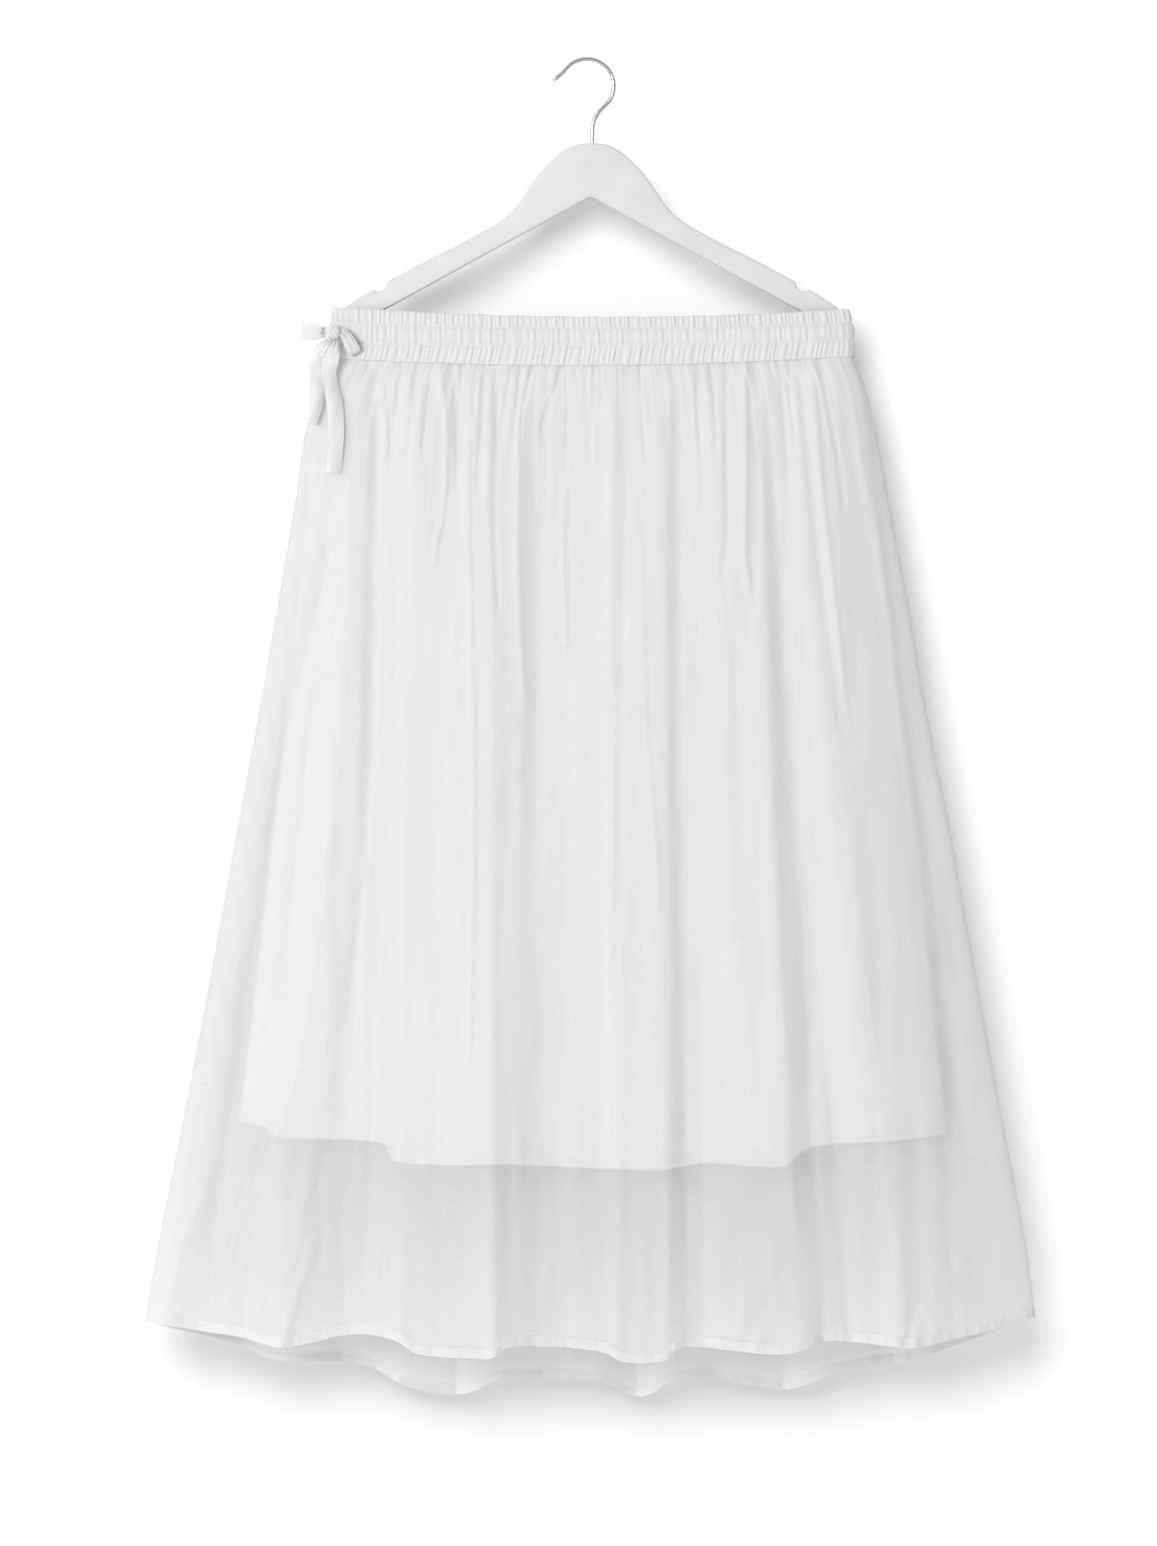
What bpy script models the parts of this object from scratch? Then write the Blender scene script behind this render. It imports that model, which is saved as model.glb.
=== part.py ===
"""Gathered voile skirt on a wooden hanger.

The skirt is a tube of two outer panels, front and back, over a shorter and narrower lining, all
sewn to an elasticated waistband in two halves. A flat drawstring is tied in a bow at the left end
of the band. The band is stretched over the two tips of a flat wooden hanger with a wire hook.

The origin is the inside of the hook's crest, where a rail carries it. +X runs to the viewer's
right, +Z up, and the front of the skirt faces -Y. Sizes below are millimetres.
"""

from math import atan2, cos, exp, pi, radians, sin

import bmesh
import bpy
import numpy as np
from mathutils import Vector

MM = 0.001
GAP = 0.3  # between pieces that touch
SEAM_HALF_GAP = 0.15  # each panel's share of the gap at a side seam

# Cloth walls
VOILE_WALL = 1.8
LINING_WALL = 1.2
BAND_WALL = 2.4

# The skirt's level sections: left and right edge, half depth, and how square the section is
# (2 is an ellipse, 8 nearly a box).
SECTION_COLUMNS = ("height", "left", "right", "half_depth", "squareness")
SECTIONS = (
    (-212, -220.5, 224.0, 11.5, 8.0),
    (-226, -220.8, 226.5, 11.5, 8.0),
    (-242, -220.6, 228.2, 11.5, 8.0),
    (-257, -221.5, 228.5, 11.5, 8.0),
    (-280, -232.0, 238.4, 13.0, 4.8),
    (-320, -243.1, 247.8, 15.5, 3.4),
    (-380, -252.0, 258.9, 18.5, 2.7),
    (-460, -265.7, 274.2, 22.0, 2.3),
    (-560, -283.1, 291.5, 26.0, 2.1),
    (-680, -305.0, 315.1, 30.0, 2.0),
    (-800, -327.0, 336.3, 33.0, 2.0),
    (-920, -350.2, 358.6, 35.5, 2.0),
    (-1020, -370.1, 377.0, 37.0, 2.0),
    (-1084, -380.1, 384.4, 38.0, 2.0),
    (-1160, -384.0, 388.0, 38.0, 2.0),
)

# The waistband's levels, which sag in the middle. Columns: level, and its height at the left
# end, in the middle and at the right end.
BAND_LEVELS = (
    ("top edge", -211.6, -220.2, -213.7),
    ("upper stitching", -224.5, -229.6, -225.3),
    ("lower stitching", -242.1, -244.6, -239.1),
    ("skirt seam", -255.4, -261.9, -254.1),
)

# Rows down the band's outer face. Columns: the level above it, the share of the way to the next
# level, how far the casing stands out, how high its gathers are, and how far they lean to the
# left there.
BAND_ROWS = (
    (0, 0.00, 0.0, 0.7, 0.0),
    (0, 0.50, 1.0, 1.1, 0.0),
    (1, 0.00, 0.0, 0.4, 0.0),
    (1, 0.50, 1.9, 0.5, 0.4),
    (2, 0.00, 0.1, 0.4, 0.8),
    (2, 0.50, 1.0, 1.2, 2.2),
    (2, 1.00, 0.1, 0.7, 3.4),
)
BAND_RIDGES = 60  # on each half
BAND_PLAIN_COLUMNS = 30  # across its smooth inside
FRILL = 0.7  # how far the top edge's gathers stand up

# Gathers where a panel is sewn to the band: height, and how far down each one runs
GATHERS = 38  # on each panel
GATHER_SHAPE = (0.0, 1.0, 0.45)  # valley, crest, shoulder
GATHER_HEIGHT = (0.9, 2.7)
GATHER_RUN = (60.0, 185.0)

# Folds. Columns: where the crest lies at each of the four heights, the widths of its left and
# right flank, and how far it stands out at each height. The right flank is usually the steep one.
FOLD_HEIGHTS = (-300, -600, -860, -1110)
FRONT_FOLDS = (
    ((-205, -229, -258, -334), 24, 28, (4, 8, 9, 7)),
    ((-222, -222, -226, -264), 30, 46, (0, 1, 5, 12)),
    ((-160, -158, -158, -160), 40, 30, (2, 3, 4, 5)),
    ((-91, -89, -88, -88), 88, 15, (6, 10, 13, 15)),
    ((-57, -55, -52, -50), 9, 14, (4, 4, 1, 0)),
    ((19, 20, 22, 26), 34, 12, (5, 7, 7, 8)),
    ((63, 62, 58, 53), 26, 16, (6, 9, 12, 15)),
    ((145, 146, 150, 163), 54, 22, (6, 10, 12, 14)),
    ((195, 212, 242, 275), 26, 42, (5, 9, 11, 14)),
    ((224, 270, 318, 352), 22, 24, (3, 5, 5, 3)),
)
BACK_FOLDS = (
    ((-206, -236, -268, -300), 26, 34, (4, 7, 9, 9)),
    ((-150, -158, -172, -214), 24, 50, (3, 6, 8, 10)),
    ((-96, -102, -108, -116), 44, 26, (6, 10, 13, 15)),
    ((-40, -38, -36, -40), 16, 30, (4, 5, 4, 2)),
    ((24, 30, 36, 40), 26, 26, (6, 9, 13, 16)),
    ((92, 88, 86, 84), 14, 20, (4, 4, 2, 1)),
    ((140, 146, 156, 166), 32, 30, (6, 9, 12, 14)),
    ((188, 206, 232, 262), 24, 44, (4, 8, 10, 12)),
    ((226, 272, 314, 344), 20, 26, (2, 5, 6, 4)),
)
LINING_FOLDS = (
    ((-170, -175, -182, -182), 22, 12, (0.3, 2.5, 4, 4)),
    ((-70, -66, -60, -60), 50, 30, (0.3, 2, 3, 3)),
    ((50, 54, 60, 60), 40, 26, (0.3, 2, 4, 4)),
    ((150, 158, 168, 168), 40, 14, (0.3, 2.5, 4, 4)),
)

# Hem lines from the left side seam to the right one, as seen from the front
HEM_COLUMNS = ("across", "height")
FRONT_HEM = (
    (-380, -1084.5),
    (-331, -1092),
    (-298, -1096.5),
    (-264, -1105),
    (-236, -1101),
    (-211, -1095),
    (-187, -1094),
    (-162, -1100),
    (-146, -1110),
    (-98, -1114),
    (-82, -1113.5),
    (-70, -1105),
    (-37, -1104),
    (-7, -1106),
    (15, -1110),
    (28, -1117),
    (64, -1116.5),
    (74, -1107),
    (88, -1104),
    (126, -1108),
    (158, -1111),
    (180, -1108),
    (200, -1100),
    (231, -1101),
    (275, -1105.5),
    (312, -1098),
    (359, -1088),
    (384, -1079.5),
)
BACK_HEM = (
    (-380, -1084.5),
    (-304, -1103.5),
    (-268, -1118),
    (-209, -1120),
    (-182, -1126),
    (-162, -1138),
    (-138, -1146),
    (-110, -1148.5),
    (-92, -1143),
    (-80, -1136),
    (-7, -1135),
    (16, -1138.5),
    (28, -1146.5),
    (40, -1150.5),
    (56, -1147),
    (66, -1140),
    (89, -1134.5),
    (114, -1135),
    (165, -1144),
    (187, -1139.5),
    (210, -1130),
    (243, -1123),
    (278, -1118),
    (315, -1105),
    (384, -1079.5),
)
LINING_FRONT_HEM = (
    (-300, -911),
    (-276, -917),
    (-268, -925),
    (-175, -930.5),
    (-165, -946),
    (-58, -948.5),
    (58, -953),
    (96, -947),
    (160, -950),
    (184, -934),
    (259, -928),
    (303, -922),
)
LINING_BACK_HEM = (
    (-300, -911),
    (-240, -924),
    (-150, -935),
    (-60, -944),
    (40, -948),
    (140, -940),
    (230, -930),
    (303, -922),
)

# Turned hems
HEM_WIDTH = 8.0
HEM_STEP = 1.0  # height over which the turned edge steps out
HEM_THICKNESS = 0.7  # the turned layer on top of the voile

# The lining hangs inside the voile: its edges draw in and its walls stay closer together
LINING_INSET = (2.4, 51.0)  # at the seam and at its hem
LINING_DEPTH_SHARE = (0.82, 0.70)
LINING_LENGTH = 690.0  # over which inset and depth reach their lower values
LINING_COLUMNS = 30

# Levels down a panel: millimetres below the seam where every gather is drawn, then where every
# second column is, then shares of the rest of the way to the hem
FINE_LEVELS = (GAP, 20.0, 55.0, 110.0)
COARSE_LEVELS = (190.0,)
LOWER_SHARES = (0.2, 0.4, 0.6, 0.8)
LINING_SHARES = (0.0, 0.06, 0.22, 0.45, 0.7)
EDGE_SHARES = (0.0, 0.0015, 0.005)  # extra columns that round the section's ends
EDGE_FADE = 0.05  # folds die away over this share of the width at each side

# Hanger
HANGER_HALF_THICKNESS = 6.0
HANGER_EDGE = 3.0
HANGER_TIP_HEIGHT = -225.0
HANGER_TOP = -70.5
# Right half of the outline, from the crown down the upper edge. Columns: out from the middle,
# and height. The tip is round and the underside straight.
HANGER_UPPER = (
    (0.0, HANGER_TOP),
    (14.0, -72.5),
    (26.5, -79.0),
    (36.0, -87.5),
    (45.0, -97.0),
    (54.0, -109.5),
    (62.0, -121.5),
    (71.0, -132.0),
    (83.0, -141.0),
    (98.0, -149.5),
    (115.0, -158.5),
    (136.5, -169.0),
    (175.5, -190.0),
)
HANGER_NOTCH = ((177.0, -195.0), (181.0, -198.5), (187.5, -197.0))
HANGER_SHOULDER = ((210.0, -211.0),)
HANGER_TIP_RADIUS = 8.0
HANGER_TIP_POINTS = 7
HANGER_APEX = -116.8
HANGER_UNDERSIDE_SLOPE = 0.5475

# Hook: a wire bent to a ring that opens to the left, with the mouth's end turned out
WIRE = 3.5
HOOK_RADIUS = 23.2
HOOK_CENTRE = (-0.9, -21.45)
HOOK_ARC = (142.0, -52.0)  # degrees, over the crest
HOOK_ARC_POINTS = 17
HOOK_LIP = ((-29.6, -16.6), (-26.6, -14.2), (-22.6, -10.9))
HOOK_NECK = ((9.6, -43.8), (5.6, -50.2), (4.0, -57.0))
HOOK_STEM_X = 3.6
WIRE_SIDES = 8

# Drawstring: a flat tie of the same cloth
TIE_WIDTH = 12.0
TIE_WALL = 1.3
KNOT_PLACE = (-219.0, -234.0)  # across and height; its back rests on the cord channel
CHANNEL_RELIEF = 1.3  # how far the cord channel and its gathers stand out there
KNOT_SIZE = (13.0, 12.0, 13.0)
KNOT_ROUNDING = 2.4
KNOT_SEGMENTS = 3
# Routes of the free ends. Columns: x, y, z, the turn of the tie about its length in degrees, and
# its width
LEFT_TAIL = (
    (-222.4, -15.6, -240.9, 0, 5.0),
    (-230.0, -17.4, -249.5, 5, 11.0),
    (-234.8, -16.6, -260.0, 40, 12.0),
    (-233.6, -15.6, -274.0, 46, 12.0),
    (-233.2, -15.2, -285.0, 38, 12.0),
    (-234.4, -15.0, -297.0, 26, 12.0),
    (-239.4, -15.4, -311.5, 8, 12.0),
)
RIGHT_TAIL = (
    (-216.6, -19.4, -240.9, 0, 5.0),
    (-219.6, -22.4, -254.0, -12, 12.0),
    (-223.6, -22.4, -268.0, 10, 12.0),
    (-222.6, -22.4, -281.0, 16, 12.0),
    (-219.0, -22.6, -296.0, 6, 13.0),
    (-217.8, -22.8, -318.0, 0, 13.0),
    (-218.6, -23.0, -336.0, 0, 12.5),
    (-220.4, -23.2, -354.5, 4, 12.0),
)
TAIL_STATIONS = 18
# Bow loops. Columns: side of the knot, reach from it, droop in degrees below level, how far its
# two layers part in depth, and its width at the knot and at its far end
LEFT_LOOP = (-1, 21.0, -6.0, 11.0, 9.0, 15.0)
RIGHT_LOOP = (1, 23.0, 52.0, 8.0, 8.0, 11.0)
LOOP_STATIONS = 17
LOOP_LAYER_OFFSET = 2.0  # each layer's distance from the knot's mid depth at its side
LOOP_LEAD = 3.5  # over which a loop turns from the knot's side to its droop

# Finish of each material: colour, roughness, metallic
FINISHES = {
    "voile": ((0.86, 0.86, 0.86), 0.85, 0.0),
    "lining": ((0.90, 0.90, 0.90), 0.80, 0.0),
    "waistband": ((0.87, 0.87, 0.87), 0.85, 0.0),
    "tie": ((0.86, 0.86, 0.86), 0.85, 0.0),
    "painted_wood": ((0.84, 0.84, 0.83), 0.45, 0.0),
    "steel_wire": ((0.56, 0.56, 0.57), 0.25, 1.0),
}

FRONT = -1
BACK = 1


def clear_scene():
    for old in list(bpy.data.objects):
        bpy.data.objects.remove(old, do_unlink=True)


def material(finish):
    """The Principled material of one finish, made once."""
    found = bpy.data.materials.get(finish)
    if found:
        return found
    colour, roughness, metallic = FINISHES[finish]
    made = bpy.data.materials.new(finish)
    made.use_nodes = True
    shader = made.node_tree.nodes["Principled BSDF"]
    shader.inputs["Base Color"].default_value = (*colour, 1.0)
    shader.inputs["Roughness"].default_value = roughness
    shader.inputs["Metallic"].default_value = metallic
    return made


def finish_object(name, bm, finish, parent, smooth_angle=40.0):
    """Turns a bmesh in millimetres into a named object in metres with its faces outward."""
    bmesh.ops.scale(bm, vec=(MM, MM, MM), verts=bm.verts)
    bmesh.ops.recalc_face_normals(bm, faces=bm.faces)
    mesh = bpy.data.meshes.new(name)
    bm.to_mesh(mesh)
    bm.free()
    mesh.shade_smooth()
    mesh.set_sharp_from_angle(angle=radians(smooth_angle))
    mesh.materials.append(material(finish))
    made = bpy.data.objects.new(name, mesh)
    bpy.context.collection.objects.link(made)
    made.parent = parent
    return made


def column(table, names, wanted):
    """One named column of a table."""
    place = names.index(wanted)
    return np.array([row[place] for row in table])


def section_value(height, wanted):
    heights = column(SECTIONS, SECTION_COLUMNS, "height")
    values = column(SECTIONS, SECTION_COLUMNS, wanted)
    return float(np.interp(-height, -heights, values))


def ease(x):
    """A soft step from 0 to 1."""
    x = min(max(x, 0.0), 1.0)
    return x * x * (3.0 - 2.0 * x)


def section_point(side, share, height, lift, inset=0.0, depth_share=1.0):
    """A point on the front or back half of the level section at this height, moved out by lift."""
    left = section_value(height, "left") + inset
    right = section_value(height, "right") - inset
    half_depth = section_value(height, "half_depth") * depth_share
    power = section_value(height, "squareness")
    half_width = (right - left) / 2.0
    across = 2.0 * share - 1.0
    inward = max(1.0 - abs(across) ** power, 0.0) ** (1.0 / power)
    slope_x = abs(across) ** (power - 1.0) / half_width
    slope_y = inward ** (power - 1.0) / half_depth
    length = (slope_x**2 + slope_y**2) ** 0.5
    out_x = (1.0 if across > 0 else -1.0) * slope_x / length
    out_y = slope_y / length
    x = (left + right) / 2.0 + half_width * across + out_x * lift
    y = SEAM_HALF_GAP + half_depth * inward + out_y * lift
    return Vector((x, side * y, height))


def fold_lift(folds, x, height, share):
    """How far the folds push the wall out here. They die away at the side seams."""
    down = [-h for h in FOLD_HEIGHTS]
    total = 0.0
    for crest, left_flank, right_flank, stands_out in folds:
        distance = x - np.interp(-height, down, crest)
        flank = left_flank if distance < 0 else right_flank
        if abs(distance) < flank:
            bump = 0.5 * (1.0 + cos(pi * distance / flank))
            total += bump * np.interp(-height, down, stands_out)
    return total * ease(share / EDGE_FADE) * ease((1.0 - share) / EDGE_FADE)


def uneven(share):
    """Cloth gathers more closely in some places than in others."""
    return share + 0.0045 * sin(2 * pi * 5 * share + 1.0) + 0.0022 * sin(2 * pi * 11 * share)


def spread_columns(count):
    """Shares across a panel: extra ones at both edges, and count steps between."""
    first = 2.0 * EDGE_SHARES[-1]
    low, high = uneven(0.0), uneven(1.0)
    between = []
    for k in range(count + 1):
        along = (uneven(k / count) - low) / (high - low)
        between.append(first + (1.0 - 2.0 * first) * along)
    mirrored = [1.0 - share for share in reversed(EDGE_SHARES)]
    return list(EDGE_SHARES) + between + mirrored


def gather_lift(place, below_seam, seed):
    """Lift of the gather that this column belongs to, fading down its own length."""
    number, part = divmod(place, len(GATHER_SHAPE))
    wave = 0.5 + 0.32 * sin(2.4 * number + seed) + 0.18 * sin(5.1 * number + 2.0 * seed)
    height = GATHER_HEIGHT[0] + (GATHER_HEIGHT[1] - GATHER_HEIGHT[0]) * wave
    reach = 0.5 + 0.5 * sin(1.7 * number + 0.5 + seed)
    run = GATHER_RUN[0] + (GATHER_RUN[1] - GATHER_RUN[0]) * reach
    return GATHER_SHAPE[part] * height * max(0.0, 1.0 - below_seam / run)


def stitch(bm, above, below):
    """Faces between two rows of (share, vertex), whatever the number of points in each."""
    i = j = 0
    while i < len(above) - 1 or j < len(below) - 1:
        next_above = above[i + 1][0] if i < len(above) - 1 else 2.0
        next_below = below[j + 1][0] if j < len(below) - 1 else 2.0
        if abs(next_above - next_below) < 1e-9:
            bm.faces.new((above[i][1], below[j][1], below[j + 1][1], above[i + 1][1]))
            i += 1
            j += 1
        elif next_above < next_below:
            bm.faces.new((above[i][1], below[j][1], above[i + 1][1]))
            i += 1
        else:
            bm.faces.new((above[i][1], below[j][1], below[j + 1][1]))
            j += 1


def wall(name, outer, inner, finish, parent):
    """A closed wall of cloth. Each face is a list of (level, row), a row of (share, point)."""
    bm = bmesh.new()
    sheets = []
    for face in (outer, inner):
        sheets.append(
            [(level, [(share, bm.verts.new(point)) for share, point in row]) for level, row in face]
        )
    for sheet in sheets:
        for (_, above), (_, below) in zip(sheet, sheet[1:]):
            stitch(bm, above, below)
    for row in (0, -1):
        stitch(bm, sheets[0][row][1], sheets[1][row][1])
    for end in (0, -1):
        outer_end, inner_end = ([(level, row[end][1]) for level, row in s] for s in sheets)
        stitch(bm, outer_end, inner_end)
    return finish_object(name, bm, finish, parent)


def band_height(level, share):
    """A level of the waistband at this share of its width: a parabola through three heights."""
    left, middle, right = BAND_LEVELS[level][1:]
    sag = middle - (left + right) / 2.0
    return left + (right - left) * share + sag * 4.0 * share * (1.0 - share)


def waistband(name, side, parent):
    """Half of the waistband: its gathers and casings stand out from a smooth inside."""
    columns = spread_columns(2 * BAND_RIDGES)
    edge = len(EDGE_SHARES)
    outer = []
    for level, share_down, stands_out, ridge, lean in BAND_ROWS:
        row = []
        for k, share in enumerate(columns):
            height = band_height(level, share)
            height += (band_height(level + 1, share) - height) * share_down
            inside = edge <= k < len(columns) - edge
            crest = inside and (k - edge) % 2 == 1
            swell = ridge * (0.75 + 0.25 * sin(1.9 * k + side)) if crest else 0.0
            fade = ease(share / EDGE_FADE) * ease((1.0 - share) / EDGE_FADE)
            point = section_point(side, share, height, stands_out * max(fade, 0.4) + swell)
            point.x -= lean * fade
            if not outer and crest:
                point.z += FRILL * (0.6 + 0.4 * sin(2.7 * k))
            row.append((share, point))
        outer.append((level + share_down, row))
    plain = spread_columns(BAND_PLAIN_COLUMNS)
    inner = []
    for level in (0, 1, len(BAND_LEVELS) - 1):
        row = [
            (share, section_point(side, share, band_height(level, share), -BAND_WALL))
            for share in plain
        ]
        inner.append((float(level), row))
    return wall(name, outer, inner, "waistband", parent)


def hem_height(hem, x):
    return float(
        np.interp(x, column(hem, HEM_COLUMNS, "across"), column(hem, HEM_COLUMNS, "height"))
    )


def panel_levels(share, hem):
    """Heights down one column of a panel, and each one's extra lift where the hem is turned."""
    seam = band_height(len(BAND_LEVELS) - 1, share)
    left, right = section_value(-1084, "left"), section_value(-1084, "right")
    end = hem_height(hem, left + (right - left) * share)
    levels = [(seam - below, 0.0) for below in FINE_LEVELS + COARSE_LEVELS]
    start, hem_top = levels[-1][0], end + HEM_WIDTH
    levels += [(start + (hem_top - start) * part, 0.0) for part in LOWER_SHARES]
    levels += [(hem_top, 0.0), (hem_top - HEM_STEP, HEM_THICKNESS), (end, HEM_THICKNESS)]
    return seam, levels


def skirt_panel(name, side, hem, folds, seed, parent):
    """An outer panel: gathers at the seam that run together into its folds, and a turned hem."""
    parts = len(GATHER_SHAPE)
    columns = spread_columns(parts * GATHERS)
    edge = len(EDGE_SHARES)
    heights = [panel_levels(share, hem) for share in columns]
    outer, inner = [], []
    for level in range(len(heights[0][1])):
        fine = level < len(FINE_LEVELS)
        outer_row, inner_row = [], []
        for k, share in enumerate(columns):
            place = k - edge
            inside = 0 <= place <= parts * GATHERS
            if not fine and inside and place % 2:
                continue
            seam, levels = heights[k]
            height, turned = levels[level]
            x = section_point(side, share, height, 0.0).x
            lift = fold_lift(folds, x, height, share) * ease((seam - height) / 60.0)
            if fine and inside:
                lift += gather_lift(place, seam - height, seed)
            outer_row.append((share, section_point(side, share, height, lift + turned)))
            inner_row.append((share, section_point(side, share, height, lift - VOILE_WALL)))
        outer.append((float(level), outer_row))
        inner.append((float(level), inner_row))
    return wall(name, outer, inner, "voile", parent)


def lining_panel(name, side, hem, parent):
    """A lining panel: narrower and flatter than the voile, with a few soft folds."""
    columns = spread_columns(LINING_COLUMNS)
    rows = len(LINING_SHARES) + 3
    outer, inner = [[] for _ in range(rows)], [[] for _ in range(rows)]
    for share in columns:
        seam = band_height(len(BAND_LEVELS) - 1, share) - GAP
        end = hem_height(hem, hem[0][0] + (hem[-1][0] - hem[0][0]) * share)
        hem_top = end + HEM_WIDTH
        levels = [(seam + (hem_top - seam) * part, 0.0) for part in LINING_SHARES]
        levels += [(hem_top, 0.0), (hem_top - HEM_STEP, HEM_THICKNESS), (end, HEM_THICKNESS)]
        for level, (height, turned) in enumerate(levels):
            down = min((seam - height) / LINING_LENGTH, 1.0)
            inset = LINING_INSET[0] + (LINING_INSET[1] - LINING_INSET[0]) * down
            depth = np.interp(down, (0.0, 0.15), LINING_DEPTH_SHARE)
            x = section_point(side, share, height, 0.0, inset, depth).x
            lift = fold_lift(LINING_FOLDS, x, height, share) * ease((seam - height) / 60.0)
            out = section_point(side, share, height, lift + turned, inset, depth)
            back = section_point(side, share, height, lift - LINING_WALL, inset, depth)
            outer[level].append((share, out))
            inner[level].append((share, back))
    faces = [[(float(level), row) for level, row in enumerate(face)] for face in (outer, inner)]
    return wall(name, faces[0], faces[1], "lining", parent)


def hanger_middle():
    """Half the distance between the hanger's tips, and where its middle lies across."""
    left = section_value(HANGER_TIP_HEIGHT, "left") + BAND_WALL + GAP
    right = section_value(HANGER_TIP_HEIGHT, "right") - BAND_WALL - GAP
    return (right - left) / 2.0, (right + left) / 2.0


def hanger_half_outline():
    """Right half of the hanger's outline: upper edge, notch, shoulder, round tip, underside."""
    reach, _ = hanger_middle()
    points = list(HANGER_UPPER) + list(HANGER_NOTCH) + list(HANGER_SHOULDER)
    centre_x = reach - HANGER_TIP_RADIUS
    under_angle = atan2(-1.0, HANGER_UNDERSIDE_SLOPE)
    for k in range(HANGER_TIP_POINTS):
        angle = radians(38.0) + (under_angle - radians(38.0)) * k / (HANGER_TIP_POINTS - 1)
        x = centre_x + HANGER_TIP_RADIUS * cos(angle)
        points.append((x, HANGER_TIP_HEIGHT + HANGER_TIP_RADIUS * sin(angle)))
    out = centre_x - 12.0
    points.append((out, HANGER_APEX - HANGER_UNDERSIDE_SLOPE * out))
    points.append((0.0, HANGER_APEX))
    return points


def hanger_body(parent):
    """The flat wooden body: its outline filled, given its thickness and rounded edges."""
    _, middle = hanger_middle()
    half = hanger_half_outline()
    mirrored = [(-x, z) for x, z in reversed(half[1:-1])]
    bm = bmesh.new()
    verts = [
        bm.verts.new((middle + x, -HANGER_HALF_THICKNESS, z)) for x, z in half + mirrored
    ]
    face = bm.faces.new(verts)
    pulled = bmesh.ops.extrude_face_region(bm, geom=[face])
    moved = [v for v in pulled["geom"] if isinstance(v, bmesh.types.BMVert)]
    bmesh.ops.translate(bm, vec=(0.0, 2.0 * HANGER_HALF_THICKNESS, 0.0), verts=moved)
    rims = [
        e for e in bm.edges if abs(e.verts[0].co.y - e.verts[1].co.y) < HANGER_HALF_THICKNESS
    ]
    bmesh.ops.bevel(
        bm,
        geom=rims,
        offset=HANGER_EDGE,
        segments=2,
        profile=0.5,
        affect="EDGES",
        material=-1,
        clamp_overlap=True,
    )
    return finish_object("hanger_body", bm, "painted_wood", parent)


def smooth_route(points, stations):
    """Points at even steps along a smooth curve through the given rows of numbers."""
    rows = np.array(points, dtype=float)
    padded = np.vstack([2 * rows[0] - rows[1], rows, 2 * rows[-1] - rows[-2]])
    dense = []
    for k in range(len(rows) - 1):
        a, b, c, d = padded[k : k + 4]
        for t in np.linspace(0.0, 1.0, 24, endpoint=False):
            dense.append(
                0.5
                * (
                    2 * b
                    + (c - a) * t
                    + (2 * a - 5 * b + 4 * c - d) * t**2
                    + (3 * b - a - 3 * c + d) * t**3
                )
            )
    dense.append(rows[-1])
    dense = np.array(dense)
    steps = np.linalg.norm(np.diff(dense[:, :3], axis=0), axis=1)
    run = np.concatenate([[0.0], np.cumsum(steps)])
    wanted = np.linspace(0.0, run[-1], stations)
    return np.array([[np.interp(w, run, dense[:, c]) for c in range(rows.shape[1])] for w in wanted])


def hanger_hook(parent):
    """The wire: turned-out lip, ring over the crest, neck and a stem down to the crown."""
    _, middle = hanger_middle()
    start, end = (radians(a) for a in HOOK_ARC)
    arc = []
    for k in range(HOOK_ARC_POINTS):
        angle = start + (end - start) * k / (HOOK_ARC_POINTS - 1)
        arc.append(
            (HOOK_CENTRE[0] + HOOK_RADIUS * cos(angle), HOOK_CENTRE[1] + HOOK_RADIUS * sin(angle))
        )
    route = list(HOOK_LIP) + arc + list(HOOK_NECK)
    route.append((HOOK_STEM_X, HANGER_TOP + GAP))
    curve = bpy.data.curves.new("hanger_hook", "CURVE")
    curve.dimensions = "3D"
    curve.bevel_depth = WIRE / 2.0 * MM
    curve.bevel_resolution = WIRE_SIDES // 4
    curve.use_fill_caps = True
    spline = curve.splines.new("POLY")
    spline.points.add(len(route) - 1)
    for point, (x, z) in zip(spline.points, route):
        point.co = (x * MM, 0.0, z * MM, 1.0)
    curve.materials.append(material("steel_wire"))
    made = bpy.data.objects.new("hanger_hook", curve)
    bpy.context.collection.objects.link(made)
    made.parent = parent
    return made


def flat_strip(name, stations, parent):
    """A strip of folded cloth through stations of (centre, side direction, face direction, width)."""
    bm = bmesh.new()
    rings = []
    for centre, side, face, width in stations:
        across, deep = side * width / 2.0, face * TIE_WALL / 2.0
        corners = (centre - across - deep, centre + across - deep)
        corners += (centre + across + deep, centre - across + deep)
        rings.append([bm.verts.new(corner) for corner in corners])
    for ring, following in zip(rings, rings[1:]):
        for k in range(4):
            nxt = (k + 1) % 4
            bm.faces.new((ring[k], ring[nxt], following[nxt], following[k]))
    bm.faces.new(rings[0])
    bm.faces.new(rings[-1])
    return finish_object(name, bm, "tie", parent)


def tie_tail(name, route, parent):
    """A free end of the drawstring, turning about its length as it hangs."""
    rows = smooth_route(route, TAIL_STATIONS)
    stations = []
    for k, (x, y, z, turn, width) in enumerate(rows):
        before, after = rows[max(k - 1, 0)], rows[min(k + 1, len(rows) - 1)]
        along = Vector(after[:3] - before[:3]).normalized()
        if k == 0:
            along = Vector((0.0, 0.0, -1.0))
        level = Vector((cos(radians(turn)), sin(radians(turn)), 0.0))
        side = (level - along * level.dot(along)).normalized()
        stations.append((Vector((x, y, z)), side, along.cross(side), width))
    return flat_strip(name, stations, parent)


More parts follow.
